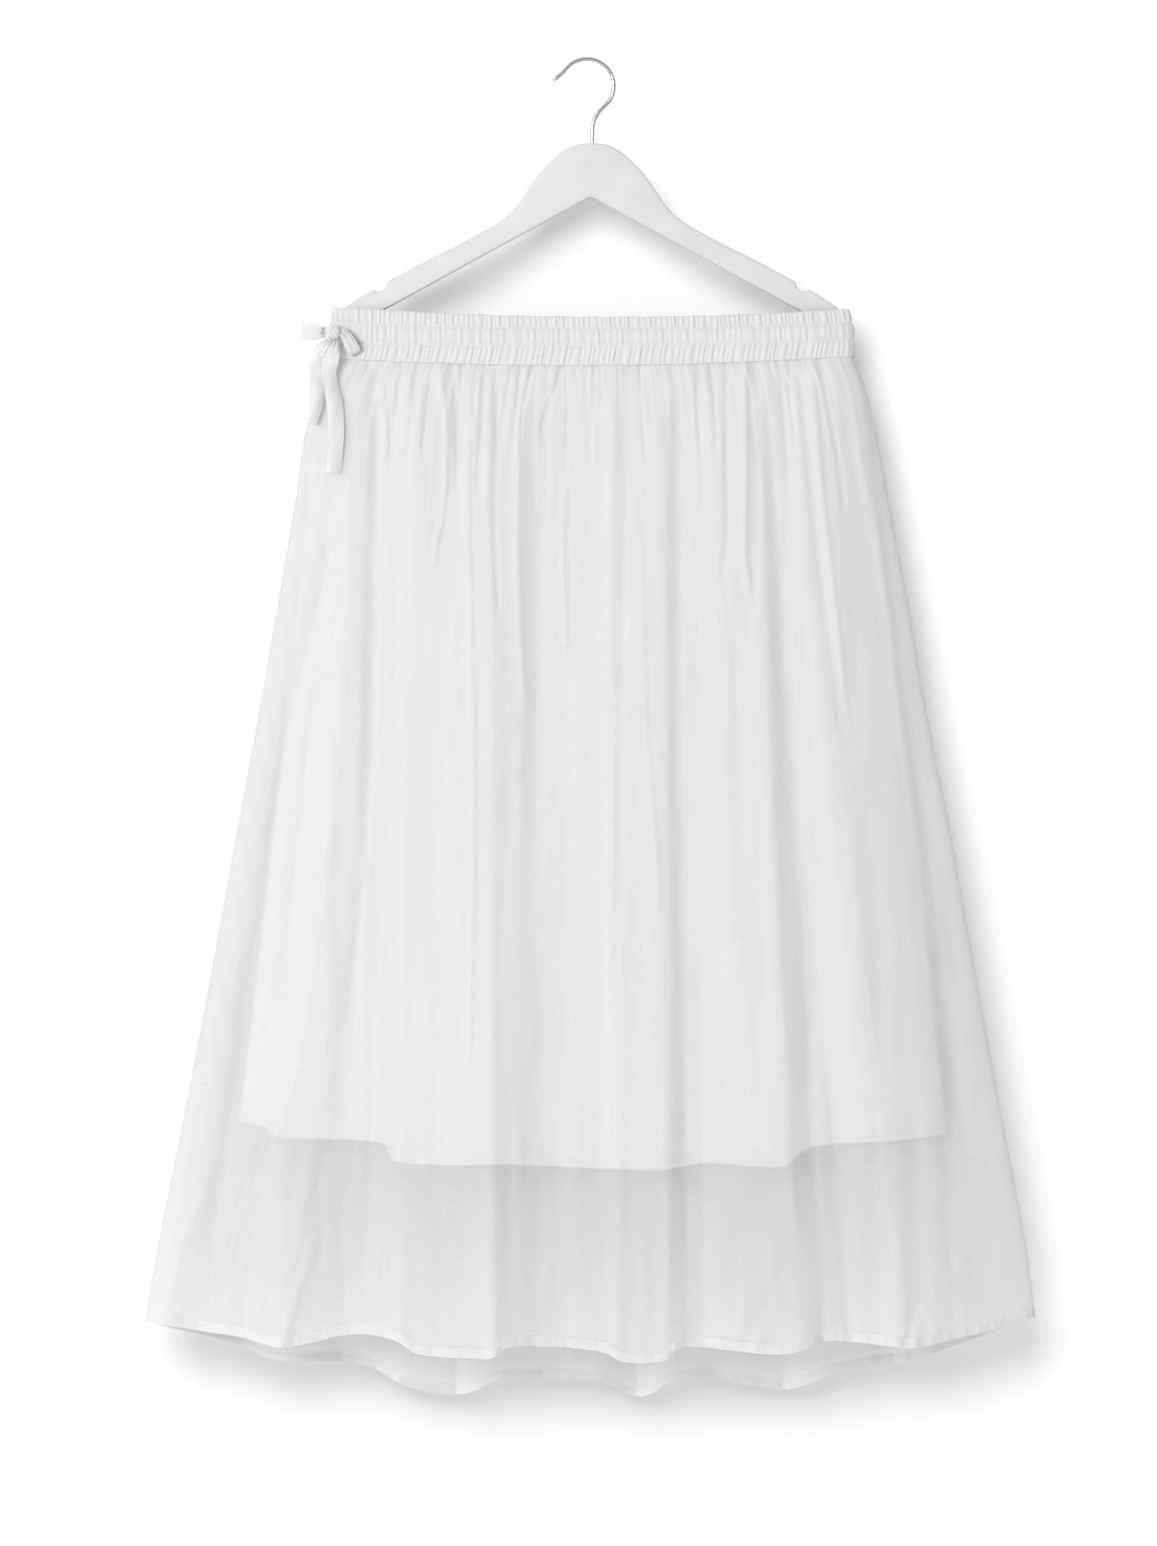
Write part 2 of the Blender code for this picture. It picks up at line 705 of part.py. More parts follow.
def knot_centre():
    """The knot's place: its back lies on the waistband's face at the edge nearest the middle."""
    x, z = KNOT_PLACE
    left, right = section_value(z, "left"), section_value(z, "right")
    share = (x + KNOT_SIZE[0] / 2.0 - left) / (right - left)
    face = section_point(FRONT, share, z, CHANNEL_RELIEF).y
    return Vector((x, face - GAP - KNOT_SIZE[1] / 2.0, z))


def tie_loop(name, loop, parent):
    """A bow loop: the tie leaves the knot's side in front, turns at its far end and comes back."""
    side, reach, droop, opening, knot_width, width = loop
    angle = radians(droop)
    level = Vector((side, 0.0, 0.0))
    out = Vector((side * cos(angle), 0.0, -sin(angle)))
    upright = Vector((0.0, 0.0, 1.0))
    broad = Vector((side * sin(angle), 0.0, cos(angle)))
    root = knot_centre() + level * (KNOT_SIZE[0] / 2.0 + GAP)
    centres, broads, widths = [], [], []
    for k in range(LOOP_STATIONS):
        turn = pi * k / (LOOP_STATIONS - 1)
        reached = reach * max(sin(turn), 0.0) ** 0.8
        lead = LOOP_LEAD * (1.0 - exp(-reached / LOOP_LEAD))
        layer = LOOP_LAYER_OFFSET + (opening / 2.0 - LOOP_LAYER_OFFSET) * ease(reached / LOOP_LEAD)
        depth = Vector((0.0, -layer * cos(turn), 0.0))
        centres.append(root + level * lead + out * (reached - lead) + depth)
        broads.append(upright.lerp(broad, ease(reached / LOOP_LEAD)).normalized())
        widths.append(knot_width + (width - knot_width) * ease(1.6 * reached / reach))
    strip = []
    for k, centre in enumerate(centres):
        along = (centres[min(k + 1, len(centres) - 1)] - centres[max(k - 1, 0)]).normalized()
        if k == 0:
            along = level
        if k == len(centres) - 1:
            along = -level
        strip.append((centre, broads[k], along.cross(broads[k]).normalized(), widths[k]))
    return flat_strip(name, strip, parent)


def tie_knot(parent):
    """The bow's knot: a rounded block, wrapped once."""
    bm = bmesh.new()
    bmesh.ops.create_cube(bm, size=1.0)
    bmesh.ops.scale(bm, vec=KNOT_SIZE, verts=bm.verts)
    bmesh.ops.translate(bm, vec=knot_centre(), verts=bm.verts)
    bmesh.ops.bevel(
        bm,
        geom=bm.edges[:],
        offset=KNOT_ROUNDING,
        segments=KNOT_SEGMENTS,
        profile=0.5,
        affect="EDGES",
        material=-1,
    )
    return finish_object("tie_knot", bm, "tie", parent)


def main():
    clear_scene()
    skirt = bpy.data.objects.new("gathered_skirt", None)
    bpy.context.collection.objects.link(skirt)
    hanger_body(skirt)
    hanger_hook(skirt)
    waistband("waistband_front", FRONT, skirt)
    waistband("waistband_back", BACK, skirt)
    skirt_panel("skirt_front", FRONT, FRONT_HEM, FRONT_FOLDS, 0.0, skirt)
    skirt_panel("skirt_back", BACK, BACK_HEM, BACK_FOLDS, 1.3, skirt)
    lining_panel("lining_front", FRONT, LINING_FRONT_HEM, skirt)
    lining_panel("lining_back", BACK, LINING_BACK_HEM, skirt)
    tie_knot(skirt)
    tie_loop("tie_loop_left", LEFT_LOOP, skirt)
    tie_loop("tie_loop_right", RIGHT_LOOP, skirt)
    tie_tail("tie_tail_left", LEFT_TAIL, skirt)
    tie_tail("tie_tail_right", RIGHT_TAIL, skirt)


main()
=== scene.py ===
"""Dresses the gathered skirt on its hanger: voile, lining, waistband, drawstring, stitching,
painted hanger, wire hook and a white studio. The tables are in millimetres, and the settings, the
studio and finished meshes in metres.
"""

from math import atan2, cos, pi, radians, sin

import bmesh
import bpy
import numpy as np
from bpy.props import FloatProperty, FloatVectorProperty, IntProperty, PointerProperty
from mathutils import Matrix, Vector, noise


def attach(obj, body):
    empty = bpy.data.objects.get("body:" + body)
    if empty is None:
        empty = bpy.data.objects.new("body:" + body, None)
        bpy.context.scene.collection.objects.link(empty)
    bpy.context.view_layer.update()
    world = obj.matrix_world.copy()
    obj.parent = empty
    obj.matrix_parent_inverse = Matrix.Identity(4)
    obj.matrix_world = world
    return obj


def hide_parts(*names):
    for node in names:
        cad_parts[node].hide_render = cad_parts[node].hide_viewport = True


bl_info = {
    "name": "Gathered Skirt",
    "version": (1, 0, 0),
    "blender": (4, 5, 0),
    "location": "3D View > Sidebar > Skirt",
    "description": "Builds the cloth, tie, hanger and studio of a gathered voile skirt",
    "category": "Object",
}

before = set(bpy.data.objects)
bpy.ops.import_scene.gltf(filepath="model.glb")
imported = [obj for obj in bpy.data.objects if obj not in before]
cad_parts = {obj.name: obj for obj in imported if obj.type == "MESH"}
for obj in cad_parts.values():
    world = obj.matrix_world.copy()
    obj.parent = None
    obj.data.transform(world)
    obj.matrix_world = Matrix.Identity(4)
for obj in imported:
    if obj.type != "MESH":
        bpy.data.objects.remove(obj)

MM = 0.001
FRONT, BACK = -1, 1
IMAGE_WIDTH, IMAGE_HEIGHT = 1157, 1546
MM_PER_PIXEL = 0.86
ORIGIN_PIXEL = (588.0, 61.0)  # where the inside of the hook's crest lies in the picture
SENSOR_WIDTH = 36.0  # of the camera
BACKDROP, KEY_LIT, BACK_LIT = "studio_backdrop", "lit_from_the_left", "lit_from_behind"

# Level sections of the skirt. Columns: height, left edge, right edge, half depth, squareness (2 is
# an ellipse, 8 nearly a box).
SECTIONS = np.array(
    (
        (-212, -220.5, 224.0, 11.5, 8.0),
        (-226, -220.8, 226.5, 11.5, 8.0),
        (-242, -220.6, 228.2, 11.5, 8.0),
        (-257, -221.5, 228.5, 11.5, 8.0),
        (-280, -232.0, 238.4, 13.0, 4.8),
        (-320, -243.1, 247.8, 15.5, 3.4),
        (-380, -252.0, 258.9, 18.5, 2.7),
        (-460, -265.7, 274.2, 22.0, 2.3),
        (-560, -283.1, 291.5, 26.0, 2.1),
        (-680, -305.0, 315.1, 30.0, 2.0),
        (-800, -327.0, 336.3, 33.0, 2.0),
        (-920, -350.2, 358.6, 35.5, 2.0),
        (-1020, -370.1, 377.0, 37.0, 2.0),
        (-1084, -380.1, 384.4, 38.0, 2.0),
        (-1160, -384.0, 388.0, 38.0, 2.0),
    )
)

HALF_GAP = 0.05  # half the gap between the front and back halves

# Waistband levels: top edge, upper and lower stitching, seam of the skirt. Columns: height at the
# left end, in the middle, at the right end.
BAND_LEVELS = (
    (-211.6, -220.2, -213.7),
    (-224.5, -229.6, -225.3),
    (-242.1, -244.6, -239.1),
    (-255.4, -261.9, -254.1),
)
SKIRT_SEAM = len(BAND_LEVELS) - 1
# The three rows between those levels. Columns: how far the casing stands out, number of gathers
# across, their height, how sharp their valleys are.
BAND_CHANNELS = (
    (1.0, 104, 1.5, 0.75),
    (2.0, 74, 0.95, 1.05),
    (1.0, 92, 1.4, 0.80),
)
BAND_ROWS = len(BAND_CHANNELS)
BAND_LEAN = (0.0, 0.2, 0.8, 3.4)  # how far the gathers lean to the left at each level
BAND_GROOVE = (0.35, 0.06)  # depth of its stitched lines, and half width as a share of a row
BAND_SEAM_TUCK = (0.2, 0.2)  # how far its lower edge turns in, over which share of the last row
BAND_SIDE_RELIEF = 0.75  # share of the relief that stays at the side seams
FRILL = 0.9  # height of the top edge's gathers
FRILL_REACH = 0.35  # share of the top row that they reach down

# Gathers below the band, the same ones as in the solids, with finer ones between
GATHERS = 38
GATHER_MARGIN = 0.01  # share of the width without them at each side
GATHER_HEIGHT = (0.7, 2.0)  # of the lowest and the highest
GATHER_RISE, GATHER_FALL = 0.34, 0.66  # shares of a gather's width
GATHER_RUN = (60.0, 185.0)  # how far down the shortest and the longest reach
GATHER_HELD = 0.25  # share of their height at the seam itself
FINE_GATHERS, FINE_HEIGHT, FINE_RUN = 104, 0.6, 46.0  # number, height, how far down they reach
SEAM_OVERLAP = 0.8  # how far the voile reaches up behind the waistband
SEAM_TUCK = 0.35  # how far it is drawn in there
SEAM_RUN = 7.0  # distance over which the gathers come free of the seam
SEEDS = {FRONT: 0.0, BACK: 1.3}  # start of the gathers' unevenness on each side

# Folds. Columns: where the crest lies at each of the four heights, widths of its left and right
# flank, how far it stands out at each height (a trough is below 0), how far the crest leans over
# its right flank, and how its two flanks bend: above 1 steepest at the crest, below 1 steepest at
# the foot.
FOLD_HEIGHTS = np.array((-300, -600, -860, -1110))
FLANK_WIDTH_AT = 588.0  # the flanks have their widths where the skirt is this wide
FRONT_FOLDS = (
    ((-236, -270, -302, -336), 28, 46, (0, 0, -5, -10), 0, (1.1, 1.2)),
    ((-202, -214, -248, -318), 26, 34, (3, 6, 7, 6), 1, (1.3, 0.85)),
    ((-222, -222, -226, -264), 30, 46, (0, 1, 5, 11), 1, (1.2, 1.3)),
    ((-150, -150, -156, -160), 40, 40, (2, 3, 4, 5), 0, (0.9, 1.3)),
    ((-84, -83, -83, -82), 84, 84, (6, 13, 19, 23), 1, (1.0, 2.5)),
    ((-62, -60, -56, -50), 9, 14, (1.5, 1, 0, 0), 1, (1.3, 1.3)),
    ((25, 26, 26, 25), 54, 60, (4.5, 7.5, 8.5, 8.5), 1, (1.5, 1.2)),
    ((66, 67, 68, 66), 38, 24, (3, 5, 6, 7), 1, (1.0, 1.5)),
    ((112, 118, 126, 134), 34, 60, (2, 3.5, 4, 4), 0, (0.85, 1.2)),
    ((147, 154, 167, 182), 58, 36, (5, 7, 9, 10), 1, (0.9, 1.5)),
    ((196, 216, 246, 272), 34, 76, (5, 7.5, 10, 12), 1, (0.9, 1.3)),
    ((222, 268, 314, 352), 30, 30, (-2, -2.5, -2, 0), 0, (1.3, 1.3)),
)
BACK_FOLDS = (
    ((-206, -236, -268, -300), 26, 34, (4, 7, 9, 9), 1, (1.3, 1.6)),
    ((-150, -158, -172, -214), 24, 50, (3, 6, 8, 10), 2, (1.3, 1.6)),
    ((-96, -102, -108, -116), 44, 26, (6, 10, 13, 15), 3, (1.3, 1.6)),
    ((-40, -38, -36, -40), 16, 30, (4, 5, 4, 2), 1, (1.3, 1.6)),
    ((24, 30, 36, 40), 26, 26, (6, 9, 13, 16), 3, (1.3, 1.6)),
    ((92, 88, 86, 84), 14, 20, (4, 4, 2, 1), 1, (1.3, 1.6)),
    ((140, 146, 156, 166), 32, 30, (6, 9, 12, 14), 3, (1.3, 1.6)),
    ((188, 206, 232, 262), 24, 44, (4, 8, 10, 12), 2, (1.3, 1.6)),
    ((226, 272, 314, 344), 20, 26, (2, 5, 6, 4), 1, (1.3, 1.6)),
)
LINING_FOLDS = (
    ((-170, -175, -182, -182), 22, 12, (0.3, 2.5, 4, 4), 2, (1.3, 1.6)),
    ((-70, -66, -60, -60), 50, 30, (0.3, 2, 3, 3), 0, (1.3, 1.6)),
    ((50, 54, 60, 60), 40, 26, (0.3, 2, 4, 4), 0, (1.3, 1.6)),
    ((150, 158, 168, 168), 40, 14, (0.3, 2.5, 4, 4), 2, (1.3, 1.6)),
)
EDGE_FADE = 0.05  # folds and gathers die away over this share of the width at each side
CREST_ROUNDING = 2.0  # half width of a crest's rounding
FOLD_START = 60.0  # distance below the band over which the folds come out
FOLD_DRIFT = (0.12, 60.0, 190.0)  # how much they vary, and the size of that across and down
# Crinkles of the voile. Columns: share of the crinkle height, their size across and down, seed of
# their noise, whether they start below the band as the folds do.
VOILE_CRINKLES = (
    (1.5, 17.0, 260.0, 9.0, True),
    (1.0, 30.0, 60.0, 17.0, True),
    (0.5, 9.0, 24.0, 27.0, False),
)
LINING_CRINKLE = (34.0, 160.0)  # size across and down

# Pleats and gathers of the front that the picture shows one by one. Columns: how far the pleat
# stands out in millimetres (a trough is below 0), its half widths to the left and right in
# millimetres, then points down its line in picture pixels.
FRONT_PLEATS = (
    (-3.0, 8, 5, (376, 372), (377, 480), (374, 640), (368, 800), (352, 1010)),
    (-1.6, 3, 3, (495, 366), (497, 430), (494, 500), (498, 600)),
    (-1.2, 12, 8, (548, 440), (545, 520), (542, 640), (548, 760)),
    (-0.7, 5, 4, (627, 372), (626, 480), (623, 620), (620, 800), (616, 950)),
    (-0.8, 6, 5, (675, 372), (676, 480), (678, 640), (680, 850), (682, 1000), (688, 1340)),
    (-1.4, 2.5, 2.5, (726, 366), (726, 450), (727, 540), (722, 566)),
    (-2.0, 7, 5, (756, 368), (757, 430), (756, 520), (752, 600)),
    (-2.4, 10, 7, (768, 430), (776, 560), (782, 640), (790, 760), (799, 900), (822, 1340)),
    (-1.5, 4, 4, (800, 366), (806, 440), (816, 540), (830, 650), (838, 720)),
    (-1.4, 3, 3, (820, 366), (828, 410), (836, 450), (842, 500)),
    (-1.0, 5, 4, (330, 520), (322, 620), (312, 720), (300, 840), (286, 980)),
    (-3.0, 9, 7, (330, 560), (300, 680), (278, 800), (264, 900), (232, 1120), (210, 1250)),
    (-1.6, 2.2, 2.2, (384, 362), (388, 400), (392, 440)),
    (-1.6, 2.2, 2.2, (402, 362), (398, 400), (390, 450)),
    (-1.8, 2.5, 2.5, (418, 360), (414, 400), (408, 450)),
    (-1.6, 2.2, 2.2, (433, 362), (428, 400), (424, 440)),
    (-2.0, 2.5, 2.5, (452, 362), (456, 410), (458, 470)),
    (-1.6, 2.2, 2.2, (463, 362), (461, 400), (458, 440)),
    (-1.8, 2.4, 2.4, (484, 364), (482, 420), (478, 480)),
    (-1.7, 2.2, 2.2, (512, 366), (506, 400), (502, 430)),
    (-1.7, 2.2, 2.2, (522, 368), (516, 410), (511, 450)),
    (-1.7, 2.0, 2.0, (534, 366), (524, 400), (520, 430)),
    (-2.4, 2.2, 2.2, (563, 368), (553, 395), (543, 424)),
    (-1.6, 2.2, 2.2, (566, 370), (568, 410), (566, 470)),
    (-1.6, 2.2, 2.2, (594, 370), (592, 410), (590, 450)),
    (-1.6, 2.2, 2.2, (640, 368), (640, 400), (644, 440)),
    (-1.6, 2.2, 2.2, (700, 364), (697, 400), (700, 440)),
    (-1.6, 2.2, 2.2, (710, 364), (714, 400), (716, 440)),
    (-1.8, 2.4, 2.4, (778, 362), (784, 410), (788, 470)),
    (-1.6, 2.2, 2.2, (790, 362), (790, 400), (793, 430)),
    (2.0, 9, 14, (414, 400), (413, 500), (410, 640), (404, 800), (398, 960)),
    (2.0, 3, 2.0, (441, 366), (447, 430), (445, 500), (436, 550)),
    (1.8, 3, 2.5, (471, 400), (468, 500), (470, 600), (473, 740), (473, 880), (470, 1040)),
    (1.4, 3, 4, (519, 420), (517, 500), (518, 600), (524, 700)),
    (1.6, 3, 3, (567, 470), (563, 540), (566, 640)),
    (1.2, 4, 4, (614, 372), (612, 480), (611, 640), (612, 760), (610, 960), (608, 1130)),
    (0.9, 3, 2.5, (640, 560), (645, 720), (651, 800), (658, 890)),
    (1.2, 9, 16, (692, 440), (692, 560), (690, 680), (696, 800), (702, 950)),
    (2.2, 4, 2.5, (745, 370), (745, 470), (744, 560), (748, 580)),
    (1.6, 5, 8, (792, 440), (802, 560), (814, 660), (824, 760), (836, 880), (850, 1010)),
    (1.6, 3, 3, (812, 380), (819, 480), (832, 590), (842, 680)),
    (0.8, 5, 5, (838, 368), (856, 440), (872, 510), (884, 600)),
    (1.4, 7, 9, (352, 470), (342, 660), (332, 780), (316, 900), (294, 1050), (277, 1128)),
    (2.2, 6, 5, (277, 1128), (250, 1200), (222, 1269), (204, 1326)),
    (-2.0, 4, 4, (268, 1130), (242, 1200), (213, 1269), (196, 1326)),
    (-1.8, 4, 4, (302, 1288), (321, 1250)),
    (2.0, 5, 5, (318, 1252), (300, 1290), (281, 1350)),
    (-1.6, 4, 4, (745, 1340), (756, 1316), (772, 1296)),
    (1.3, 5, 5, (774, 1300), (770, 1240)),
    (-2.0, 4, 4, (903, 1342), (914, 1306), (950, 1268)),
    (1.2, 5, 5, (912, 1336), (926, 1300), (962, 1262)),
    (-1.6, 4, 4, (152, 1318), (176, 1240), (190, 1190)),
    (1.1, 4, 4, (162, 1320), (186, 1240), (206, 1180)),
    (-1.2, 6, 6, (740, 565), (746, 600), (750, 660)),
    (-1.4, 8, 6, (930, 800), (950, 900), (968, 1000)),
    (1.2, 6, 6, (900, 700), (918, 820), (932, 960)),
)
PLEAT_FADE = 26.0  # pixels over which a pleat fades in at each end
# The hidden side has the same sort of pleats, mirrored about this picture column.
BACK_MIRROR = 596.0

# Hem lines. Columns: across, height.
FRONT_HEM = np.array(
    (
        (-380, -1084.5), (-331, -1092), (-298, -1096.5), (-264, -1105), (-236, -1101),
        (-211, -1095), (-187, -1094), (-162, -1100), (-146, -1110), (-98, -1114), (-82, -1113.5),
        (-70, -1105), (-37, -1104), (-7, -1106), (15, -1110), (28, -1117), (64, -1116.5),
        (74, -1107), (88, -1104), (126, -1108), (158, -1111), (180, -1108), (200, -1100),
        (231, -1101), (275, -1105.5), (312, -1098), (359, -1088), (384, -1079.5),
    )
)
BACK_HEM = np.array(
    (
        (-380, -1084.5), (-304, -1103.5), (-268, -1118), (-209, -1120), (-182, -1126),
        (-162, -1138), (-138, -1146), (-110, -1148.5), (-92, -1143), (-80, -1136), (-7, -1135),
        (16, -1138.5), (28, -1146.5), (40, -1150.5), (56, -1147), (66, -1140), (89, -1134.5),
        (114, -1135), (165, -1144), (187, -1139.5), (210, -1130), (243, -1123), (278, -1118),
        (315, -1105), (384, -1079.5),
    )
)
LINING_FRONT_HEM = np.array(
    (
        (-300, -911), (-276, -917), (-268, -925), (-175, -930.5), (-165, -946), (-58, -948.5),
        (58, -953), (96, -947), (160, -950), (184, -934), (259, -928), (303, -922),
    )
)
LINING_BACK_HEM = np.array(
    (
        (-300, -911), (-240, -924), (-150, -935), (-60, -944), (40, -948), (140, -940), (230, -930),
        (303, -922),
    )
)
HEM_WIDTH = 8.0
HEM_THICKNESS = 0.7
HEM_STEP = 1.6  # height over which the turned edge steps out
HEM_ROWS = 8  # mesh rows of its own
HEM_MARGIN = 0.4  # how far those rows reach above it
HEM_STITCHING = HEM_WIDTH - 1.4  # height of its stitches above the edge
HEM_GROOVE = (0.2, 0.8)  # depth and half width of the line that they draw in
PUCKER_REACH = (16.0, 9.0)  # where the puckers end above the edge, and over which height

# How the lining draws in from the voile
LINING_INSET = (2.4, 51.0)  # at each side, at its top and at its hem
LINING_DEPTH_SHARE = (0.82, 0.70)  # its depth as a share of the voile's
LINING_DEPTH_AT = (0.0, 0.15)  # shares of its length at which it has those depths
LINING_LENGTH = 690.0
LINING_OVERLAP = 3.0  # how far it reaches up behind the waistband
LINING_START = 12.0  # its folds come out over one part in this many of its length
LINING_CLEARANCE = 0.9  # least distance from the voile to the lining's depth
SOFT_STOP = 0.15  # how far a trough may still give there
FULLNESS = 1.6  # how much fuller the voile stands just below the band
FULLNESS_RUN = (12.0, 220.0)  # distances below the band over which that comes and goes

# Hanger outline, right half. Columns: out from the middle, height.
HANGER_MIDDLE = 2.75
HANGER_REACH = 220.9
HANGER_CROWN = (
    (0.0, -70.5), (14.0, -72.5), (26.5, -79.0), (36.0, -87.5), (45.0, -97.0), (54.0, -109.5),
    (62.0, -121.5), (71.0, -132.0), (83.0, -141.0), (98.0, -149.5), (115.0, -158.5),
    (136.5, -169.0), (175.5, -190.0),
)
HANGER_NOTCH = ((176.3, -192.6), (177.6, -195.8), (181.0, -198.3), (184.4, -198.0), (187.5, -197.0))
HANGER_SHOULDER = ((199.0, -203.6), (210.0, -211.0))
HANGER_TIP_HEIGHT = -225.0
HANGER_TIP_RADIUS = 8.0
HANGER_TIP_FROM = 38.0  # angle at which the tip's arc starts
HANGER_UNDERSIDE_END = 12.0  # from the arc's centre inwards
HANGER_APEX = -116.8
HANGER_APEX_BEND = (3.0, 0.4)  # half width of the small bend under the apex, and its drop
HANGER_UNDERSIDE_SLOPE = 0.5475
HANGER_HALF_THICKNESS = 6.0
HANGER_CROWN_STATIONS, HANGER_TIP_STEPS, HANGER_EDGE_STEPS = 60, 13, 5

# Wire hook, as in the solids. Points: across, height.
WIRE = 3.5
HOOK_RADIUS = 23.2
HOOK_CENTRE = (-0.9, -21.45)
HOOK_ARC = (142.0, -52.0)  # angles at which the arc starts and ends
HOOK_LIP = ((-29.6, -16.6), (-26.6, -14.2), (-22.6, -10.9))
HOOK_NECK = ((9.6, -43.8), (5.6, -50.2), (4.0, -57.0))
HOOK_STEM = (3.6, -70.2)
HOOK_ARC_STEPS, HOOK_STATIONS = 12, 120
HOOK_END_RADIUS = 0.45  # of the wire's own, where its end is rounded off

# Drawstring, as in the solids. Columns of a route: x, y, z, turn about its length, width.
TIE_WIDTH = 12.0
TIE_SHELL = 0.8
TIE_COLUMNS, TIE_STATIONS = 20, 90
PINCH_REACH, PINCH_HEIGHT, PINCH_WAVES = 7.0, 1.5, 2.5  # gathers where the knot pinches the tie
CRUMPLE_HEIGHT = 0.55
TIE_ROUNDING = 0.9  # how far its middle stands out from its edges
KNOT = Vector((-219.0, -17.2, -234.0))
KNOT_SIZE = (13.0, 12.0, 13.0)
KNOT_SQUARENESS = 3.2
KNOT_WRAP, KNOT_DENT = 0.055, 0.05  # shares of its size
KNOT_CUTS = 15
LEFT_TAIL = (
    (-222.4, -15.6, -240.9, 0, 5.0),
    (-230.0, -17.4, -249.5, 5, 11.0),
    (-234.8, -16.6, -260.0, 16, 12.0),
    (-233.6, -15.6, -274.0, 18, 12.0),
    (-233.2, -15.2, -285.0, 14, 12.0),
    (-234.4, -15.0, -297.0, 8, 12.0),
    (-239.4, -15.4, -311.5, 0, 12.0),
)
RIGHT_TAIL = (
    (-216.6, -19.4, -240.9, 0, 5.0),
    (-219.4, -20.6, -254.0, -12, 12.0),
    (-222.6, -19.2, -268.0, 10, 12.5),
    (-221.0, -18.2, -281.0, 16, 13.0),
    (-217.6, -17.9, -296.0, 6, 13.5),
    (-216.4, -17.9, -318.0, 0, 13.5),
    (-217.2, -18.1, -336.0, 0, 13.0),
    (-218.8, -18.5, -354.5, 4, 13.0),
)
# Columns of a loop: side, reach, droop, opening, width at the knot and at the far end
LEFT_LOOP = (-1, 21.0, -6.0, 11.0, 9.0, 15.0)
RIGHT_LOOP = (1, 23.0, 64.0, 8.0, 8.0, 11.0)
LOOP_ROOT = 0.3  # distance from the knot to where the loops start
LOOP_LAYER_OFFSET = 2.0  # half the distance between a loop's two layers at the knot
LOOP_LEAD = 3.5  # distance over which a loop turns from level into its droop

# Flat sizes in metres, and the names of the UV maps
VOILE_UV, TIE_UV = "voile_uv", "tie_uv"
VOILE_FLAT, LINING_FLAT, BAND_FLAT = (0.86, 0.90), (0.68, 0.71), (0.64, 0.044)
TIE_WEAVE = (TIE_WIDTH * MM, 0.1)  # size of one run of the tie's weave

# Meshes: columns and rows, and how far the columns crowd towards the side seams
LINING_GRID, BAND_GRID = (150, 90), (680, 27)
PANEL_PACKING, BAND_PACKING = 0.03, 0.02
ROW_CROWDING = 0.09  # how far a panel's rows crowd towards its top
ROUTE_SAMPLES = 400  # of a curve, before its even stations are found

# Stitching
STITCHED_LEVELS = (0.22, 1.0, 2.0, 2.93)  # of the waistband, 0 to 3 down its rows
BAND_STITCHED, HEM_STITCHED = (0.006, 0.994), (0.004, 0.996)  # shares across
BAND_LENGTH, HEM_LENGTH, LINING_HEM_LENGTH = 445.0, 790.0, 620.0
THREAD_RADIUS, THREAD_LIFT = 0.16, 0.12
THREAD_SIDES = 5
STITCH_OVERLAP = 1.25  # length of a stitch by the distance between its ends

# Materials. Threads of the cloth, the warp and then the weft: how often their tone changes in a
# metre across and down, and the detail of that noise.
THREAD_NOISE = ((420.0, 14.0, 1.0), (60.0, 1150.0, 0.0))
THREAD_RELIEF = 0.00012
NOISE_LOW, NOISE_HIGH = 0.3, 0.7  # most of a noise lies between these

# Studio, in metres
WALL_HALF_WIDTH, WALL_TOP, FLOOR_DEPTH, WALL_BEND = 4.0, 2.2, 7.0, 0.35
WALL_SLOPE = (0.05, -1.2)  # heights between which the wall slopes back
BEND_STEPS = 8
KEY_LIGHT_AT = (-4.0, -6.5, 0.5)
WALL_LIGHT_AT = (-1.45, -6.0, 2.1)
BACK_LIGHT_AT = (1.8, 5.0, 1.2)
BACK_LIGHT_SIZE = 3.0
LIGHT_TARGET = Vector((0.0, 0.0, -0.6))
FILL_COLOUR = (1.0, 1.0, 0.995, 1.0)
FILL_EDGE = 0.1  # half width of the step from the front fill to the rear one
BOUNCES, SURFACE_BOUNCES = 4, 2


